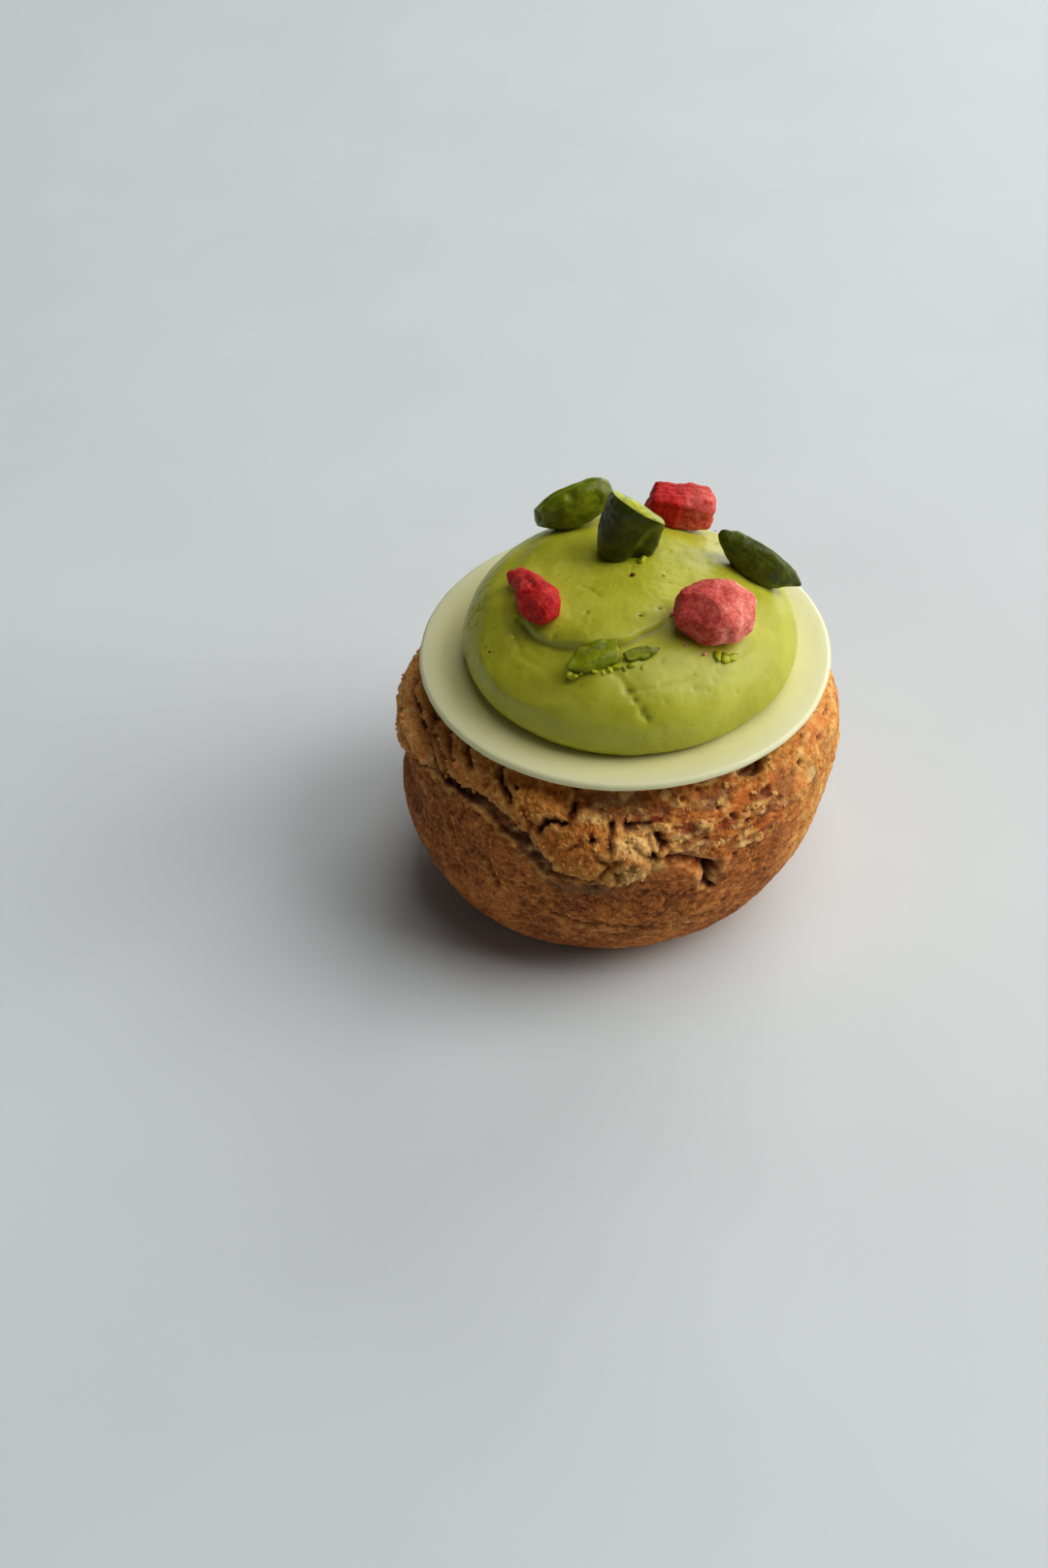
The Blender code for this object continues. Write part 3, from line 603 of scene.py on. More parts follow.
def chouxFinish():
    tints = chouxColours
    finish = Finish("bakedChoux", **{"Specular IOR Level": 0.2})
    mask, times, blend = finish.mask, finish.times, finish.blend
    broad, middle, fine = finish.noise(7.0, 4), finish.noise(2.0, 4), finish.noise(0.65, 4)
    streaks = finish.noise(1.2, 5, (1.15, 1.15, 0.95))
    specks = finish.noise(0.45, 2)
    grains = finish.cells(0.62)
    crust, litSideGolden = mask("crust"), mask("litSideGolden")

    shade = finish.ramp(blend(blend(broad, middle, 0.4), blend(streaks, fine, 0.5), 0.5), tints["body"])
    shade = finish.mix(mask("torn"), shade, finish.ramp(blend(middle, streaks, 0.5), tints["torn"]))
    # Painted light: a paler golden colour on the lit right side, with a painted sheen along its bottom edge
    shade = finish.mix(litSideGolden, shade, finish.ramp(blend(middle, streaks, 0.45), tints["litSideGolden"]))
    away = finish.math("ABSOLUTE", finish.math("SUBTRACT", finish.noise(1.7, 3), 0.5), 0)
    shade = finish.cover(shade, tints["thread"], times(litSideGolden, finish.fade(away, 0.03, 0.0)), 0.45)
    shade = finish.cover(shade, tints["shadeAndDarkSpecks"], finish.fade(specks, 0.56, 0.68), 0.55)
    shade = finish.cover(shade, tints["tip"], finish.fade(specks, 0.42, 0.32), 0.3)
    sandy = blend(blend(broad, middle, 0.6), fine, 0.35)
    shade = finish.mix(crust, shade, finish.ramp(sandy, tints["crust"]))
    # Painted light: a paler crust on the dimly lit left side
    shade = finish.mix(mask("paintedLightCrust"), shade, finish.ramp(sandy, tints["paintedLightCrust"]))
    # Among these patches, painted shade darkens hollows, the gap under the lip and the seams
    for name, share in chouxPatches.items():
        shade = finish.cover(shade, tints[name], mask(name), share)
    # Painted shade between the crust's grains
    shade = finish.cover(shade, tints["shadeAndDarkSpecks"], times(finish.fade(grains, 0.45, 0.75), crust), 0.2)

    gloss = times(finish.math("MAXIMUM", mask("red"), mask("orange")), 0.42)
    finish.link(finish.math("SUBTRACT", 0.86, gloss), finish.shader.inputs["Roughness"])
    sand = finish.math("ADD", fine, finish.noise(0.32, 3))
    sand = finish.math("ADD", sand, times(streaks, finish.math("SUBTRACT", 1.3, crust)))
    sand = finish.math("SUBTRACT", sand, times(grains, crust))
    sand = times(sand, finish.math("SUBTRACT", 1.0, times(litSideGolden, 0.5)))
    return finish.done(shade, sand, 0.17, 0.85)


chouxMaterial = chouxFinish()
chouxPoints, chouxFaces, chouxMasks, chouxOutwards = chouxWall()
makePiece("chouxBun", chouxPoints, chouxFaces, chouxMaterial, "choux_crust", chouxMasks, ["choux_shell"])


# Grains baked onto the crust, and ragged flakes on the torn side

crumbs = {
    "crust": (900, (0.1, 0.3), 0.8),  # how many, their sizes and how flat
    "torn": (170, (0.1, 0.42), 0.4),
    "shapes": 9,
    "sunk": 0.35,  # share of a grain that lies in the surface
    "seed": 11,
}


def ballPoints(level):
    bpy.ops.mesh.primitive_ico_sphere_add(subdivisions=level, radius=1.0)
    ball = bpy.context.object
    mesh = ball.data
    points = np.array([vertex.co for vertex in mesh.vertices])
    faces = [tuple(face.vertices) for face in mesh.polygons]
    bpy.data.objects.remove(ball)
    bpy.data.meshes.remove(mesh)
    return points, faces


fineBall, smallBall, crumbBall = ballPoints(6), ballPoints(5), ballPoints(2)


def crumbShapes(count):
    balls = crumbBall[0]
    return [balls * (1 + 0.75 * noiseAt(balls, 1.1, 7.3 * i))[:, None] for i in range(count)]


def scatterCrumbs(name, spots, outwards, sizes, flats, masks, random, material, slot):
    shapes = crumbShapes(crumbs["shapes"])
    facesOne = np.array(crumbBall[1])
    points, faces, kept = [], [], {mask: [] for mask in masks}
    for i, (spot, way, size, flat) in enumerate(zip(spots, outwards, sizes, flats)):
        turn = Vector(way).to_track_quat("Z", "Y").to_matrix()
        turn = turn @ Matrix.Rotation(random.uniform(0, 6.28), 3, "Z")
        long, wide, high = random.uniform(0.9, 1.7), random.uniform(0.7, 1.1), flat * random.uniform(0.7, 1.2)
        scale = size * np.array([long, wide, high])
        shape = (shapes[i % len(shapes)] * scale) @ np.array(turn).T
        points.append(shape + spot + np.array(way) * size * (1 - 2 * crumbs["sunk"]) * flat)
        faces.append(facesOne + i * len(shape))
        for mask, values in masks.items():
            kept[mask].append(np.full(len(shape), values[i]))
    kept = {mask: np.concatenate(values) for mask, values in kept.items()}
    makePiece(name, np.vstack(points), np.vstack(faces).tolist(), material, slot, kept)


def crumbPieces():
    random = np.random.default_rng(crumbs["seed"])
    surface = chouxPoints[:-2]
    on = {name: values[:-2] for name, values in chouxMasks.items()}
    crust, gold = on["crust"], on["gold"]
    ragged = (0.03 + gold**2) * (on["torn"] > 0.5) * (1 - on["litSideGolden"]) ** 2
    clear = fromDiscMiddle(surface) > discSeat["crumbsFrom"]
    baked = crust * (crust > 0.6)
    for name, kind, share in (("crustCrumbs", "crust", baked), ("tornFlakes", "torn", ragged)):
        count, span, flat = crumbs[kind]
        share = share * (1 - on["shadeAndDarkSpecks"]) * clear
        picked = random.choice(len(surface), count, replace=False, p=share / share.sum())
        sizes = span[0] + (span[1] - span[0]) * random.random(count) ** 2
        masks = {mask: np.zeros(count) for mask in chouxMasks}
        masks["crust"], masks["tip"] = np.ones(count), random.uniform(0, 1, count) ** 1.5
        masks["paintedLightCrust"] = on["paintedLightCrust"][picked]
        masks["gold"] = random.uniform(0.1, 0.85, count) if name == "tornFlakes" else gold[picked]
        flats = np.full(count, flat)
        scatterCrumbs(name, surface[picked], chouxOutwards[picked], sizes, flats, masks, random,
                      chouxMaterial, "choux_crust")


crumbPieces()


# White chocolate disc

disc = {"radius": 27.9, "thickness": 1.2, "rimSteps": 12, "columns": 288, "wobble": 0.16, "dish": 0.12}


def chocolateDisc():
    half = disc["thickness"] / 2
    turn = np.linspace(math.pi / 2, -math.pi / 2, disc["rimSteps"])
    rim = np.c_[disc["radius"] - half + half * np.cos(turn), -half + half * np.sin(turn)]
    inner = disc["radius"] - half
    top = np.c_[np.linspace(1.5, inner, 24), np.zeros(24)][:-1]
    under = np.c_[np.linspace(inner, 1.5, 12), np.full(12, -disc["thickness"])][1:]
    profile = np.vstack([top, rim, under])
    angle = np.radians(np.linspace(-180, 180, disc["columns"], endpoint=False))
    radius = profile[:, :1] + 0 * angle
    share = radius / disc["radius"]
    around = np.c_[np.cos(angle), np.sin(angle), 0 * angle]
    edge = disc["wobble"] * (noiseAt(around * 10, 7.0, 4.4) + 0.5 * noiseAt(around * 28, 3.0, 1.9))
    radius = radius + share**6 * (edge - disc["wobble"] * 0.4)
    z = profile[:, 1:] + disc["dish"] * (share**4 - 1) * (profile[:, 1:] > -half)
    points = np.stack([radius * np.cos(angle), radius * np.sin(angle), z + 0 * angle], axis=-1)
    ends = np.array([[0, 0, -disc["dish"]], [0, 0, -disc["thickness"]]])
    # The outer edge is painted paler: a painted highlight along the rim
    masks = {"rim": np.r_[smoothStep(0.86, 0.99, share).ravel(), 0, 0]}
    return np.vstack([points.reshape(-1, 3), ends]), turnedFaces(len(profile), disc["columns"]), masks


discColours = {
    "cream": [(0.3, (228, 223, 158)), (0.7, (233, 229, 168))],
    # paler rim colour: a painted highlight
    "rim": (229, 227, 182),
    "fleck": (206, 204, 146),
}


def discFinish():
    tints = discColours
    finish = Finish("whiteChocolate", **{
        "Roughness": 0.38, "Specular IOR Level": 0.45,
        "Subsurface Weight": 0.35, "Subsurface Scale": 0.0012, "Subsurface Radius": (1.0, 0.9, 0.5),
    })
    # Painted highlight: paler towards the rim
    shade = finish.mix(finish.mask("rim"), finish.ramp(finish.noise(6.0, 3), tints["cream"]), tints["rim"])
    shade = finish.cover(shade, tints["fleck"], finish.fade(finish.noise(0.6, 2), 0.68, 0.78), 0.25)
    return finish.done(shade, finish.noise(1.5, 3), 0.05, 0.4)


discPoints, discFaces, discMasks = chocolateDisc()
discPoints = moved(discPoints, discPlace)
makePiece("chocolateDisc", discPoints, discFaces, discFinish(), "white_chocolate", discMasks,
          ["chocolate_disc"])


# Pistachio cream dome. Places on it are x and y from its middle

cream = {
    "middle": (0.6, -1.0, 0),
    "footRadius": 21.0,
    "radius": 22.35,
    "widestZ": 2.6,
    "height": 13.3,
    "power": 2.33,  # 2 is round, more is squarer
    "columns": 480,
    "rings": 150,
    "tierMiddle": (-4.0, -1.2),
    "tierRadius": 11.3,
    "tierStep": 0.85,
    "tierSpan": (-172, -149, -64, -35),  # angles where the ledge starts, is full, fades and ends
    "swipes": [  # place, the way it faces, how deep it is pressed
        ((-8.5, 6.5), (-0.10, 0.08, 1.0), 0.5),
        ((-9.5, -8.0), (-0.50, -0.42, 1.0), 0.3),
        ((6.5, 9.0), (0.30, 0.42, 1.0), 0.25),
    ],
    "creases": [  # depth, width and the places along it
        (0.12, 0.5, [(-3.2, -16.8), (-2.4, -17.4), (-1.7, -18.4)]),
        (0.06, 0.5, [(-1.6, -18.8), (-0.8, -20.0), (0.6, -21.2), (2.4, -22.1)]),
        (0.07, 0.25, [(-1.9, -19.0), (1.2, -18.9), (3.6, -18.5)]),
        (0.1, 0.3, [(2.6, -18.4), (5.0, -18.0), (7.0, -17.0)]),
        (0.12, 0.6, [(-17.0, -3.0), (-15.5, -10.0), (-11.0, -15.5)]),
        (0.1, 0.5, [(9.5, -17.0), (14.5, -12.0), (17.5, -5.0)]),
        (0.12, 0.3, [(-6.4, -1.6), (-5.2, -2.6), (-4.4, -4.2)]),
    ],
    "pressed": [(-1.4, -19.0, 0.35), (-0.7, -19.9, 0.25), (0.2, -20.9, 0.42), (0.8, -21.4, 0.25),
                (-10.7, -9.8, 0.4), (0.9, -8.5, 0.3), (3.4, -7.2, 0.25), (-6.0, -7.0, 0.25)],
    "bands": 0.24,
    "scratches": 0.16,
    "layers": [(0.1, 4.5, 9.0), (0.035, 1.1, 5.0), (0.02, 0.6, 7.0)],
    "pits": 220,
}


def creamHeight(x, y):
    share = np.minimum(1, np.hypot(x, y) / cream["radius"])
    rise = cream["height"] - cream["widestZ"]
    return cream["widestZ"] + rise * (1 - share ** cream["power"]) ** (1 / cream["power"])


def creamRelief(points):
    x, y = points[:, 0], points[:, 1]
    wander = 0.35 * noiseAt(points, 3.0, 2.0)
    fromTier = np.c_[x - cream["tierMiddle"][0], y - cream["tierMiddle"][1]]
    turn = np.degrees(np.arctan2(fromTier[:, 1], fromTier[:, 0]))
    outside = np.hypot(*fromTier.T) - cream["tierRadius"] + wander
    ledge, groove = 0.4 * band(outside, -6, -0.5, -0.5, 0.55), 0.6 * band(outside, -0.35, 0.55, 0.7, 4.0)
    relief = band(turn, *cream["tierSpan"]) * cream["tierStep"] * (ledge - groove)
    heights = creamHeight(x, y)
    for (atX, atY), way, depth in cream["swipes"]:
        facing = np.array(way) / np.linalg.norm(way)
        place = np.array([atX, atY, creamHeight(atX, atY)]) - depth * facing
        beyond = (np.c_[x, y, heights] - place) @ facing
        relief -= 0.9 * (beyond + np.sqrt(beyond**2 + 0.02)) / 2 * (heights > 3)
    for depth, width, path in cream["creases"]:
        relief -= depth * np.exp(-((pathDistance(x + wander, y + 0.5 * wander, path) / width) ** 2))
    for atX, atY, size in cream["pressed"]:
        relief -= 0.3 * np.exp(-((np.hypot((x - atX) / 1.3, y - atY) / size) ** 2))
    reach = np.hypot(x, y)
    around = np.c_[2.6 * x / np.maximum(reach, 1), 2.6 * y / np.maximum(reach, 1), reach / 2.4]
    relief += cream["bands"] * smoothStep(5, 12, reach) * noiseAt(around, 1.0, 6.0)
    leftFlank = smoothStep(-15.5, -20, x) * band(y, -11, -6, 3, 9)
    scratches = creases(points, 0.8, 0.16, 3.3, (1, 2.4, 2.0)) * patches(points, 1.7, 4.4, -0.1, 0.2)
    relief -= leftFlank * cream["scratches"] * scratches
    relief += layered(points, cream["layers"])
    seeds = np.random.default_rng(5)
    for _ in range(cream["pits"]):
        reach, way = 22 * math.sqrt(seeds.random()), 2 * math.pi * seeds.random()
        size, tall = seeds.uniform(0.14, 0.3), seeds.uniform(0.6, 1.6)
        far = np.hypot(x - reach * math.cos(way), (y - reach * math.sin(way)) / tall)
        relief -= 0.28 * size * np.exp(-((far / size) ** 2))
    return relief


def creamDome():
    reach = cream["radius"] * np.sin(np.linspace(0.02, math.pi / 2, 300))
    dome = np.c_[reach, creamHeight(reach, 0)]
    share = np.linspace(0, 1, 40)[1:]
    inset = (cream["footRadius"] - cream["radius"]) * share**2
    tuck = np.c_[cream["radius"] + inset, cream["widestZ"] * (1 - share)]
    profile = evenly(np.vstack([dome, tuck]), cream["rings"])
    shape = (cream["rings"], cream["columns"])
    angle = np.radians(np.linspace(-180, 180, cream["columns"], endpoint=False))
    points, ways = turnedSurface(profile, angle)
    relief = creamRelief(points) * smoothStep(0.0, 1.0, points[:, 2])
    points = points + ways * relief[:, None]
    top = points[: cream["columns"]].mean(axis=0)
    points = np.vstack([points, top, [0, 0, 0]])
    # Painted shade: points lying lower than their neighbourhood, in creases and pits, are darkened in colour
    hollow = (blurred(relief.reshape(shape), 8) - relief.reshape(shape)).ravel()
    masks = {"hollow": np.r_[smoothStep(0.01, 0.16, hollow), 0, 0]}
    return points + np.array(cream["middle"]), turnedFaces(*shape), masks


creamColours = {
    "cream": [(0.3, (172, 171, 34)), (0.5, (184, 183, 44)), (0.72, (196, 195, 62))],
    # painted shade in creases and pits
    "hollow": (132, 134, 18),
    "speck": (104, 108, 16),
}


def creamFinish():
    tints = creamColours
    finish = Finish("pistachioCream", **{
        "Roughness": 0.42, "Specular IOR Level": 0.45,
        "Subsurface Weight": 0.3, "Subsurface Scale": 0.0014, "Subsurface Radius": (0.9, 1.0, 0.35),
    })
    shade = finish.ramp(finish.noise(5.0, 4), tints["cream"])
    # Painted shade in creases and pits
    shade = finish.cover(shade, tints["hollow"], finish.mask("hollow"), 0.7)
    shade = finish.cover(shade, tints["speck"], finish.fade(finish.noise(0.55, 1), 0.72, 0.8), 0.7)
    return finish.done(shade, finish.noise(0.9, 4), 0.07, 0.5)


creamPoints, creamFaces, creamMasks = creamDome()
creamPoints = moved(creamPoints, discPlace)
makePiece("creamDome", creamPoints, creamFaces, creamFinish(), "pistachio_cream", creamMasks, ["cream_dome"])


# Toppings. A topping is a ball of points pressed into a block, cut, and laid on the cream

def onCream(at, turn, followSlope):
    x, y, lift = at
    slopeX = float(creamHeight(x + 0.5, y) - creamHeight(x - 0.5, y))
    slopeY = float(creamHeight(x, y + 0.5) - creamHeight(x, y - 0.5))
    up = Vector((-slopeX, -slopeY, 1)).normalized() if followSlope else Vector((0, 0, 1))
    spot = Vector(cream["middle"]) + Vector((x, y, float(creamHeight(x, y)))) + up * lift
    tip = Vector((0, 0, 1)).rotation_difference(up).to_matrix().to_4x4()
    yaw, pitch, roll = (math.radians(value) for value in turn)
    turns = Matrix.Rotation(yaw, 4, "Z") @ Matrix.Rotation(-pitch, 4, "Y") @ Matrix.Rotation(roll, 4, "X")
    return Matrix.Translation(spot) @ tip @ turns


def blockPoints(ball, size, power):
    half = np.array(size) / 2
    return ball * half / (np.abs(ball) ** power).sum(axis=1, keepdims=True) ** (1 / power)


def planeCut(points, place, way):  # presses what lies beyond a plane onto it, and says how far
    way = np.array(way, float) / np.linalg.norm(way)
    beyond = np.maximum(0, (points - np.array(place)) @ way)
    return points - beyond[:, None] * way, beyond


def bitten(points, bites):  # a bite is a place on the block, how wide it is and how deep
    for place, width, depth in bites:
        inwards = -np.array(place) / np.linalg.norm(place)
        share = np.exp(-((np.linalg.norm(points - np.array(place), axis=1) / width) ** 2))
        points = points + depth * share[:, None] * inwards
    return points


def topping(name, node, points, matrix, faces, material, slot, masks):
    makePiece(name, moved(moved(points, matrix), discPlace), faces, material, slot, masks, [node])


# Tip and tail say how far the ends narrow, groove is depth and width, light is how pale the skin is; the skin
# is also painted lighter on its upper side and along cut edges, as painted light
kernels = {
    "pistachioLeft": dict(
        node="pistachio_left", upright=True, size=(11.8, 6.0, 5.9), at=(-6.8, 14.8, 3.3), turn=(5, 21, -28),
        tip=0.08, tail=0.32, power=2.4, bend=0.5, groove=(0.7, 0.8), light=0.95,
        cuts=[((-4.9, -0.4, 0.4), (-1, -0.4, 0.3)), ((0, 0, 2.5), (0, 0.15, 1)),
              ((2.4, -2.6, 0), (0.25, -1, -0.1))],
        bites=[((-4.7, -0.8, 0.4), 0.9, 0.8), ((0.7, -2.3, 1.4), 0.7, 0.55), ((3.2, -0.4, 2.8), 1.0, 0.4)],
    ),
    "pistachioRight": dict(
        node="pistachio_right", upright=True,
        size=(12.8, 5.6, 6.2), at=(17.5, 2.6, 2.4), turn=(-25, -26, -38),
        tip=0.62, tail=0.3, power=2.0, bend=0.15, groove=(0.15, 1.2), light=0.32,
        cuts=[((0, 0, 1.3), (0.05, 0.35, 1))],
        bites=[((5.7, -0.5, -1.0), 0.6, 0.7), ((1.5, 0.4, 1.4), 1.6, 0.2)],
    ),
    "pistachioFrontA": dict(
        node="pistachio_front_a", upright=False,
        size=(8.2, 4.4, 1.7), at=(-5.3, -14.4, 0.35), turn=(196, 0, 0),
        tip=0.7, tail=0.0, power=2.2, bend=0.3, groove=(0.3, 0.8), light=0.95,
        cuts=[((-3.2, 0, 0), (-1, 0.25, 0.1)), ((0, 1.7, 0), (0.15, 1, 0.15))],
        bites=[((-2.6, -1.6, 0.5), 0.7, 0.6), ((0.4, -2.0, 0.3), 0.5, 0.35)],
    ),
    "pistachioFrontB": dict(
        node="pistachio_front_b", upright=False,
        size=(5.2, 1.9, 1.5), at=(0.45, -14.6, 0.4), turn=(12, 0, 0),
        tip=0.6, tail=0.2, power=2.2, bend=0.25, groove=(0.2, 0.4), light=0.55,
        cuts=[((0, 0, 0.35), (0, -0.35, 1)), ((-2.1, 0, 0), (-1, -0.3, 0.1))],
        bites=[((-0.6, -1.0, 0.2), 0.5, 0.4), ((1.2, -0.9, 0.3), 0.35, 0.25)],
    ),
}
kernelLayers = [(0.2, 2.1, 3.0, (2.2, 1, 1)), (0.12, 0.9, 8.0, (1.6, 1, 1)), (0.05, 0.45, 6.0)]
kernelColours = {
    "skin": [(0.35, (36, 42, 2)), (0.5, (45, 54, 4)), (0.66, (58, 67, 6))],
    # paler skin: partly the kernel's own colour, partly painted light on tops and cut edges
    "light": [(0.35, (98, 108, 4)), (0.5, (112, 124, 6)), (0.66, (126, 138, 10))],
    "flesh": [(0.35, (140, 150, 6)), (0.5, (174, 180, 14)), (0.66, (206, 208, 40))],
    "scuff": (112, 120, 24),
}


def kernelFinish():
    tints = kernelColours
    finish = Finish("pistachioKernel", **{
        "Roughness": 0.38, "Coat Weight": 0.12, "Coat Roughness": 0.26, "Specular IOR Level": 0.22,
        "Subsurface Weight": 0.12, "Subsurface Scale": 0.0008,
    })
    spots = finish.noise(1.6, 4)
    skin, light, flesh = (finish.ramp(spots, tints[name]) for name in ("skin", "light", "flesh"))
    # Paler skin where the light mask is: partly the kernel's own colour, partly painted light
    shade = finish.mix(finish.mask("cut"), finish.mix(finish.mask("light"), skin, light), flesh)
    shade = finish.cover(shade, tints["scuff"], finish.fade(finish.noise(0.5, 3), 0.6, 0.75), 0.18)
    return finish.done(shade, finish.noise(0.5, 4), 0.1, 0.6)


kernelMaterial = kernelFinish()


def kernelPiece(name, kind):
    sliver = "Front" in name
    balls, faces = smallBall if sliver else fineBall
    half = np.array(kind["size"]) / 2
    points = blockPoints(balls, kind["size"], kind["power"])
    along = points[:, 0] / half[0]
    narrow = kind["tip"] * smoothStep(0.1, 1.1, along) ** 1.5 + kind["tail"] * smoothStep(0.0, 1.1, -along)
    points[:, 1:] *= 1 - narrow[:, None]
    upper = smoothStep(0, 0.7, points[:, 2] / half[2])
    depth, width = kind["groove"]
    groove = np.exp(-((points[:, 1] + 0.2 * half[1]) / width) ** 2)
    points[:, 2] -= depth * upper * groove * smoothStep(1, 0.5, np.abs(along))
    points[:, 2] += kind["bend"] * (along**2 - 0.4)
    cut = np.zeros(len(points))
    for place, way in kind["cuts"]:
        points, beyond = planeCut(points, place, way)
        cut = np.maximum(cut, smoothStep(0.05, 0.5, beyond))
    points = bitten(points, kind["bites"])
    points = points + balls * layered(points, kernelLayers)[:, None]
    # Paler skin: the kernel's own paleness in random patches, plus painted light that is stronger on the
    # upper side
    light = kind["light"] * (0.75 + 0.35 * upper + 0.2 * noiseAt(points, 2.4, 5.0))
    # Slivers take the pale flesh colour on their tops as painted light; kernels get a painted highlight along
    # their cut edges
    if sliver:
        paleCut = 0.35 * cut + 0.2 * upper
    else:
        light += 0.25 * band(cut, 0.02, 0.12, 0.3, 0.9)
        paleCut = 0.16 * cut
    masks = {"light": np.clip(light, 0, 1), "cut": paleCut}
    matrix = onCream(kind["at"], kind["turn"], not kind["upright"])
    topping(name, kind["node"], points, matrix, faces, kernelMaterial, "pistachio_kernel", masks)


for kernelName, kernelKind in kernels.items():
    kernelPiece(kernelName, kernelKind)


stub = {
    "size": (8.4, 6.8, 13.0),
    "power": 2.7,
    "at": (0.8, 5.6, 3.9),
    "turn": (0, -16, 0),
    "foldX": 1.5,
    "foldLean": 0.32,
    "foldWidth": 0.75,
    "foldDepth": 1.0,
    "cutPoint": (2.25, 5.0, 19.6),
    "cutWay": (0.56, 0.34, 0.76),
    "hollow": 1.7,  # how deep the cut is scooped
    "layers": [(0.3, 2.4, 3.0, (1, 1, 1.8)), (0.12, 0.9, 8.0), (0.05, 0.45, 6.0)],
}


def stubPiece():
    balls, faces = fineBall
    points = blockPoints(balls, stub["size"], stub["power"])
    front = smoothStep(0.3, -0.6, points[:, 1])
    foldX = stub["foldX"] + stub["foldLean"] * (points[:, 2] + 2) + 0.5 * noiseAt(points, 2.5, 4.0)
    low = smoothStep(3.2, -0.5, points[:, 2])
    fold = low * np.exp(-(((points[:, 0] - foldX) / stub["foldWidth"]) ** 2))
    beside = smoothStep(0, 1.5, points[:, 0] - foldX)
    points[:, 1] += front * (stub["foldDepth"] * fold + 0.35 * low * beside)
    matrix = onCream(stub["at"], stub["turn"], False)
    inverse = matrix.inverted()
    place = inverse @ (Vector(cream["middle"]) + Vector(stub["cutPoint"]))
    way = np.array(inverse.to_3x3() @ Vector(stub["cutWay"]).normalized())
    points, beyond = planeCut(points, place, way)
    cut = smoothStep(0.02, 0.35, beyond)
    middle = points[cut > 0.5].mean(axis=0)
    away = np.linalg.norm((points - middle) * (0.85, 1.0, 0.85), axis=1)
    points = points - (cut * stub["hollow"] * smoothStep(3.6, 0.6, away))[:, None] * way
    points = points + balls * layered(points, stub["layers"])[:, None]
    # Paler skin in random patches, and painted highlights along the edge of the cut and along the fold
    light = 0.12 + 0.3 * noiseAt(points, 2.0, 9.0) + 0.6 * band(cut, 0.0, 0.12, 0.2, 0.8) + 0.5 * front * fold
    masks = {"light": np.clip(light, 0, 1), "cut": 0.75 * cut}
    topping("pistachioCentre", "pistachio_centre", points, matrix, faces, kernelMaterial, "pistachio_kernel",
            masks)


stubPiece()


# A facet is a way and how far out it lies, as a share of the block's reach that way
# Pale is how pale the dullest spot is, how much more the rest can be, and how that leans along the piece; the
# paler end is painted light
berries = {
    "berryBack": dict(
        node="berry_back", size=(9.2, 5.3, 5.0), at=(8.0, 15.3, 2.2), turn=(-2, -9, 0), upright=True,
        power=5.0, taper=0.0, seed=3, lumps=0.35, grain=0.06, fibres=0.24, paleAndLit=(0.0, 0.34, 1.3),
        facets=[((-1, 0.2, 0.3), 0.86), ((0.2, -0.7, 0.7), 0.9)], bites=[((-4.4, -1.0, -1.4), 0.8, 0.7)],
    ),
    "berryLeft": dict(
        node="berry_left", size=(13.0, 5.8, 3.8), at=(-12.6, -2.4, 1.0), turn=(-69, 0, 0), upright=False,
        power=2.3, taper=0.36, seed=7, lumps=0.45, grain=0.07, fibres=0.12, paleAndLit=(0.0, 0.2, -0.3),
        facets=[((-1, 0, 0), 0.84), ((0.3, -0.6, 0.7), 0.85), ((0.2, 0.8, 0.6), 0.9)],
        bites=[((-2.4, -2.4, 0.4), 1.6, 0.8), ((0.8, 0.2, 1.8), 0.5, 0.5), ((-5.4, 0.2, 0.6), 0.6, 0.8),
               ((-4.0, 1.6, 0.4), 0.6, 0.4)],
    ),
    "berryRight": dict(
        node="berry_right", size=(11.0, 8.6, 6.9), at=(9.8, -9.7, 2.8), turn=(8, 0, 0), upright=False,
        power=2.45, taper=0.0, seed=12, lumps=0.26, grain=0.08, fibres=0.0, paleAndLit=(0.3, 0.6, 1.5),
        facets=[((-0.56, -0.42, 0.72), 0.76), ((0.45, -0.35, 0.82), 0.79), ((1, -0.1, 0), 0.9),
                ((0.65, -0.75, 0.1), 0.85), ((-0.6, -0.8, -0.1), 0.78), ((-1, 0.2, 0.1), 0.9),
                ((-0.35, 0.6, 0.7), 0.86), ((0.5, 0.7, 0.5), 0.88)],
        bites=[],
    ),
}
berryColours = {
    "red": [(0.35, (160, 6, 6)), (0.5, (188, 18, 14)), (0.66, (212, 46, 36))],
    "pink": [(0.35, (216, 78, 70)), (0.5, (232, 122, 106)), (0.66, (246, 176, 154))],
    "pit": (136, 12, 14),
    "grain": (250, 216, 204),
}


def berryFinish():
    tints = berryColours
    finish = Finish("driedBerry", **{
        "Roughness": 0.7, "Specular IOR Level": 0.22,
        "Subsurface Weight": 0.45, "Subsurface Scale": 0.0018, "Subsurface Radius": (1.0, 0.3, 0.25),
    })
    # The pale pink is partly the berry's own colour in patches, partly painted light toward one end
    paleAndLit = finish.mask("paleAndLit")
    spots = finish.blend(finish.noise(1.4, 4), finish.noise(0.5, 3), 0.5)
    shade = finish.mix(paleAndLit, finish.ramp(spots, tints["red"]), finish.ramp(spots, tints["pink"]))
    shade = finish.cover(shade, tints["pit"], finish.mask("pit"), 0.55)
    grains = finish.times(finish.fade(finish.noise(0.28, 2), 0.6, 0.72), finish.math("MAXIMUM", paleAndLit, 0.1))
    shade = finish.cover(shade, tints["grain"], grains, 0.7)
    return finish.done(shade, finish.noise(0.3, 4), 0.12, 0.8)


berryMaterial = berryFinish()


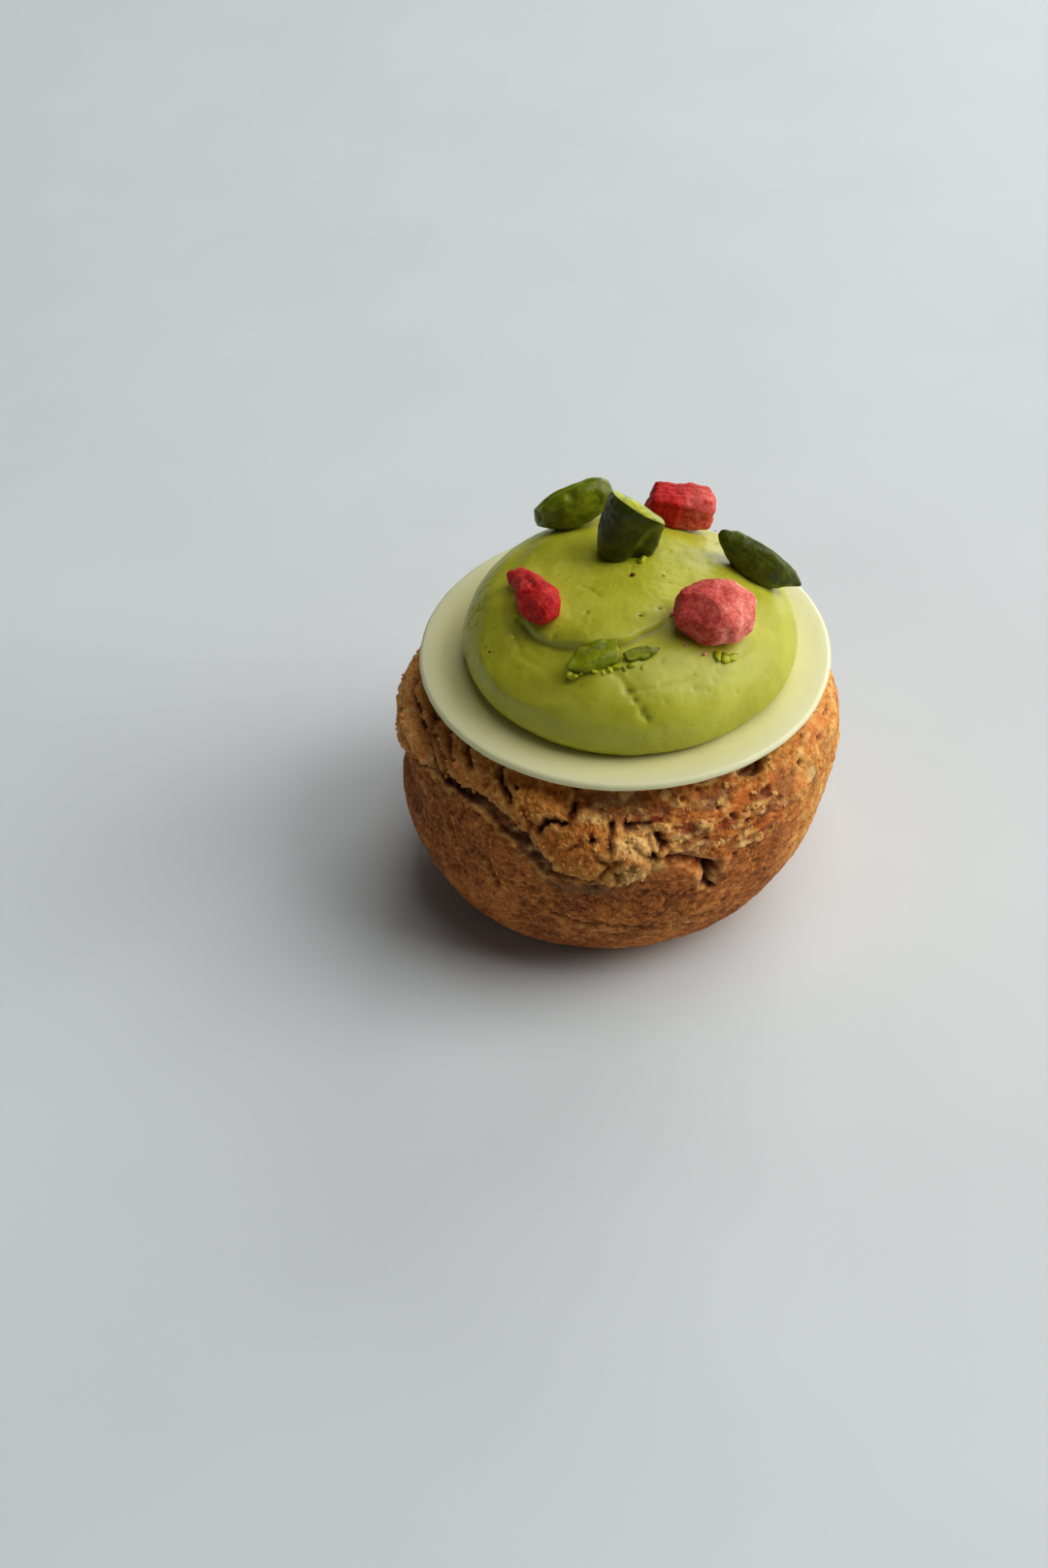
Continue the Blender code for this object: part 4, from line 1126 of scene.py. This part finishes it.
def berryPiece(name, kind):
    balls, faces = fineBall
    half = np.array(kind["size"]) / 2
    points = blockPoints(balls, kind["size"], kind["power"])
    for way, share in kind["facets"]:
        way = np.array(way) / np.linalg.norm(way)
        reach = points @ way
        points = points - 0.9 * np.maximum(0, reach - share * reach.max())[:, None] * way
    along = points[:, 0] / half[0]
    tail = kind["taper"] * smoothStep(0.4, -0.5, along)
    points[:, 1] = points[:, 1] * (1 - tail) - kind["taper"] * 1.2 * smoothStep(0.2, -1.0, along)
    points[:, 2] *= 1 - tail
    points = bitten(points, kind["bites"])
    away = points / np.linalg.norm(points, axis=1, keepdims=True)
    bumps = kind["lumps"] * noiseAt(points, 2.2, (kind["seed"], 0, 0)) + 0.12 * noiseAt(points, 0.9, 5.0)
    bumps += kind["grain"] * (noiseAt(points, 0.5, 6.0) + 0.6 * noiseAt(points, 0.3, 2.0))
    threads = noiseAt(points, 0.8, 9.0, (8, 1, 1))
    bumps += kind["fibres"] * (threads + 0.6 * np.abs(along) ** 6 * noiseAt(points, 0.9, 3.0))
    low, high, lean = kind["paleAndLit"]
    # Paler in random patches and toward one end of the piece: that end is painted light
    lit = smoothStep(-0.45, 0.55, 0.6 * noiseAt(points, 2.6, kind["seed"] + 2.0) + lean * along)
    masks = {"paleAndLit": np.clip(low + high * lit, 0, 1), "pit": smoothStep(0.08, 0.4, -bumps)}
    points = points + away * bumps[:, None]
    matrix = onCream(kind["at"], kind["turn"], not kind["upright"])
    topping(name, kind["node"], points, matrix, faces, berryMaterial, "dried_berry", masks)


for berryName, berryKind in berries.items():
    berryPiece(berryName, berryKind)


# Crumbs that lie on the cream. A crumb is x, y on the dome, how big in mm and how flat

creamCrumbs = {
    "kernelCrumbs": (kernelMaterial, "pistachio_kernel", {"light": 1.0, "cut": 1.0}, [
        (-8.6, -16.0, 0.5, 0.8), (-8.0, -16.3, 0.4, 0.9), (-7.2, -16.0, 0.35, 0.9), (-5.6, -16.2, 0.3, 0.8),
        (-3.6, -16.3, 0.34, 0.8), (-2.6, -16.1, 0.4, 0.8), (-1.8, -16.4, 0.3, 0.8), (-0.8, -16.0, 0.45, 0.7),
        (0.6, -16.3, 0.26, 0.8), (-4.4, -16.5, 0.26, 0.8), (2.1, 2.6, 0.45, 0.8), (1.6, 2.4, 0.32, 0.8),
        (-13.4, -6.6, 0.3, 0.6), (4.6, -0.8, 0.22, 0.5), (-15.8, -8.0, 0.24, 0.5), (10.4, -14.2, 0.6, 0.4),
        (11.3, -14.2, 0.75, 0.4), (12.2, -13.8, 0.6, 0.4), (-14.6, -4.6, 0.5, 0.6),
    ]),
    "darkSpecks": (chouxMaterial, "choux_crust", {"crust": 1.0, "shadeAndDarkSpecks": 1.0}, [
        (0.43, -0.56, 0.36, 0.5), (-18.7, -8.2, 0.2, 0.5), (0.74, -8.5, 0.16, 0.4),
    ]),
    "berryCrumbs": (berryMaterial, "dried_berry", {"paleAndLit": 1.0, "pit": 0.0}, [
        (6.2, -13.2, 0.26, 0.8), (4.9, -8.4, 0.28, 0.8), (5.1, -10.9, 0.2, 0.8),
        (8.6, -14.2, 0.26, 0.8), (-11.8, -3.4, 0.22, 0.8), (11.6, -13.6, 0.2, 0.8), (12.6, 12.6, 0.24, 0.6),
    ]),
}


def creamCrumbPieces():
    random = np.random.default_rng(3)
    for name, (material, slot, masks, marks) in creamCrumbs.items():
        spots, ways = [], []
        for x, y, size, flat in marks:
            place = onCream((x, y, 0.25 * size), (0, 0, 0), True)
            place = discPlace @ place
            spots.append(np.array(place.translation))
            ways.append(np.array(place.to_3x3() @ Vector((0, 0, 1))))
        sizes, flats = [mark[2] for mark in marks], [mark[3] for mark in marks]
        kept = {mask: np.full(len(marks), value) for mask, value in masks.items()}
        scatterCrumbs(name, spots, ways, sizes, flats, kept, random, material, slot)


creamCrumbPieces()


# Floor, light and camera

stageSetup = {
    "floorSize": 8.0,
    "floorColour": [(0.3, (215, 221, 221)), (0.7, (219, 225, 225))],
    "camera": {"place": (-12.92, -251.84, 236.70), "pitch": 41.64, "roll": 3.17, "lens": 54.5},
    "lights": [  # name, way round and height in degrees, power in watts
        ("lowRight", 3, 18, 8.0),
        ("highRight", -10, 42, 14.4),
        ("backRight", 60, 18, 13.2),
        ("overhead", 0, 75, 8.0),
        ("leftFill", 205, 28, 0.7),
    ],
    "lightSize": 1.1,
    "lightReach": 1.6,
    "world": {"Color": (0.94, 0.98, 1.0, 1), "Strength": 0.02},
}


def buildStage():
    half = stageSetup["floorSize"] / 2
    mesh = bpy.data.meshes.new("floor")
    corners = [(-half, -half, 0), (half, -half, 0), (half, half, 0), (-half, half, 0)]
    mesh.from_pydata(corners, [], [(0, 1, 2, 3)])
    finish = Finish("paleFloor", Roughness=0.7)
    shade = finish.ramp(finish.noise(40.0, 3), stageSetup["floorColour"])
    finish.link(shade, finish.shader.inputs["Base Color"])
    mesh.materials.append(finish.material)
    floor = bpy.data.objects.new("floor", mesh)
    bpy.context.scene.collection.objects.link(floor)
    for name, way, rise, power in stageSetup["lights"]:
        lamp = bpy.data.lights.new(name, "AREA")
        lamp.energy, lamp.size = power, stageSetup["lightSize"]
        light = bpy.data.objects.new(name, lamp)
        turn = Euler((0, -math.radians(rise), math.radians(way)))
        light.location = turn.to_matrix() @ Vector((stageSetup["lightReach"], 0, 0))
        light.rotation_euler = (Vector((0, 0, 0.03)) - light.location).to_track_quat("-Z", "Y").to_euler()
        bpy.context.scene.collection.objects.link(light)
    world = bpy.data.worlds.new("softRoom")
    world.use_nodes = True
    background = world.node_tree.nodes["Background"]
    for socket, value in stageSetup["world"].items():
        background.inputs[socket].default_value = value
    bpy.context.scene.world = world
    bpy.context.scene.view_settings.view_transform = "Standard"


def placeCamera():
    setup = stageSetup["camera"]
    pitch, roll = math.radians(setup["pitch"]), math.radians(setup["roll"])
    forward = Vector((0, math.cos(pitch), -math.sin(pitch)))
    right = Vector((1, 0, 0))
    down = forward.cross(right)
    across = right * math.cos(roll) + down * math.sin(roll)
    downwards = -right * math.sin(roll) + down * math.cos(roll)
    data = bpy.data.cameras.new("photoView")
    data.lens, data.sensor_width = setup["lens"], 36
    camera = bpy.data.objects.new("photoView", data)
    turns = Matrix((across, -downwards, -forward)).transposed().to_4x4()
    camera.matrix_world = Matrix.Translation(Vector(setup["place"]) * mm) @ turns
    bpy.context.scene.collection.objects.link(camera)
    bpy.context.scene.camera = camera


buildStage()
placeCamera()
print("floor, light and camera ready")
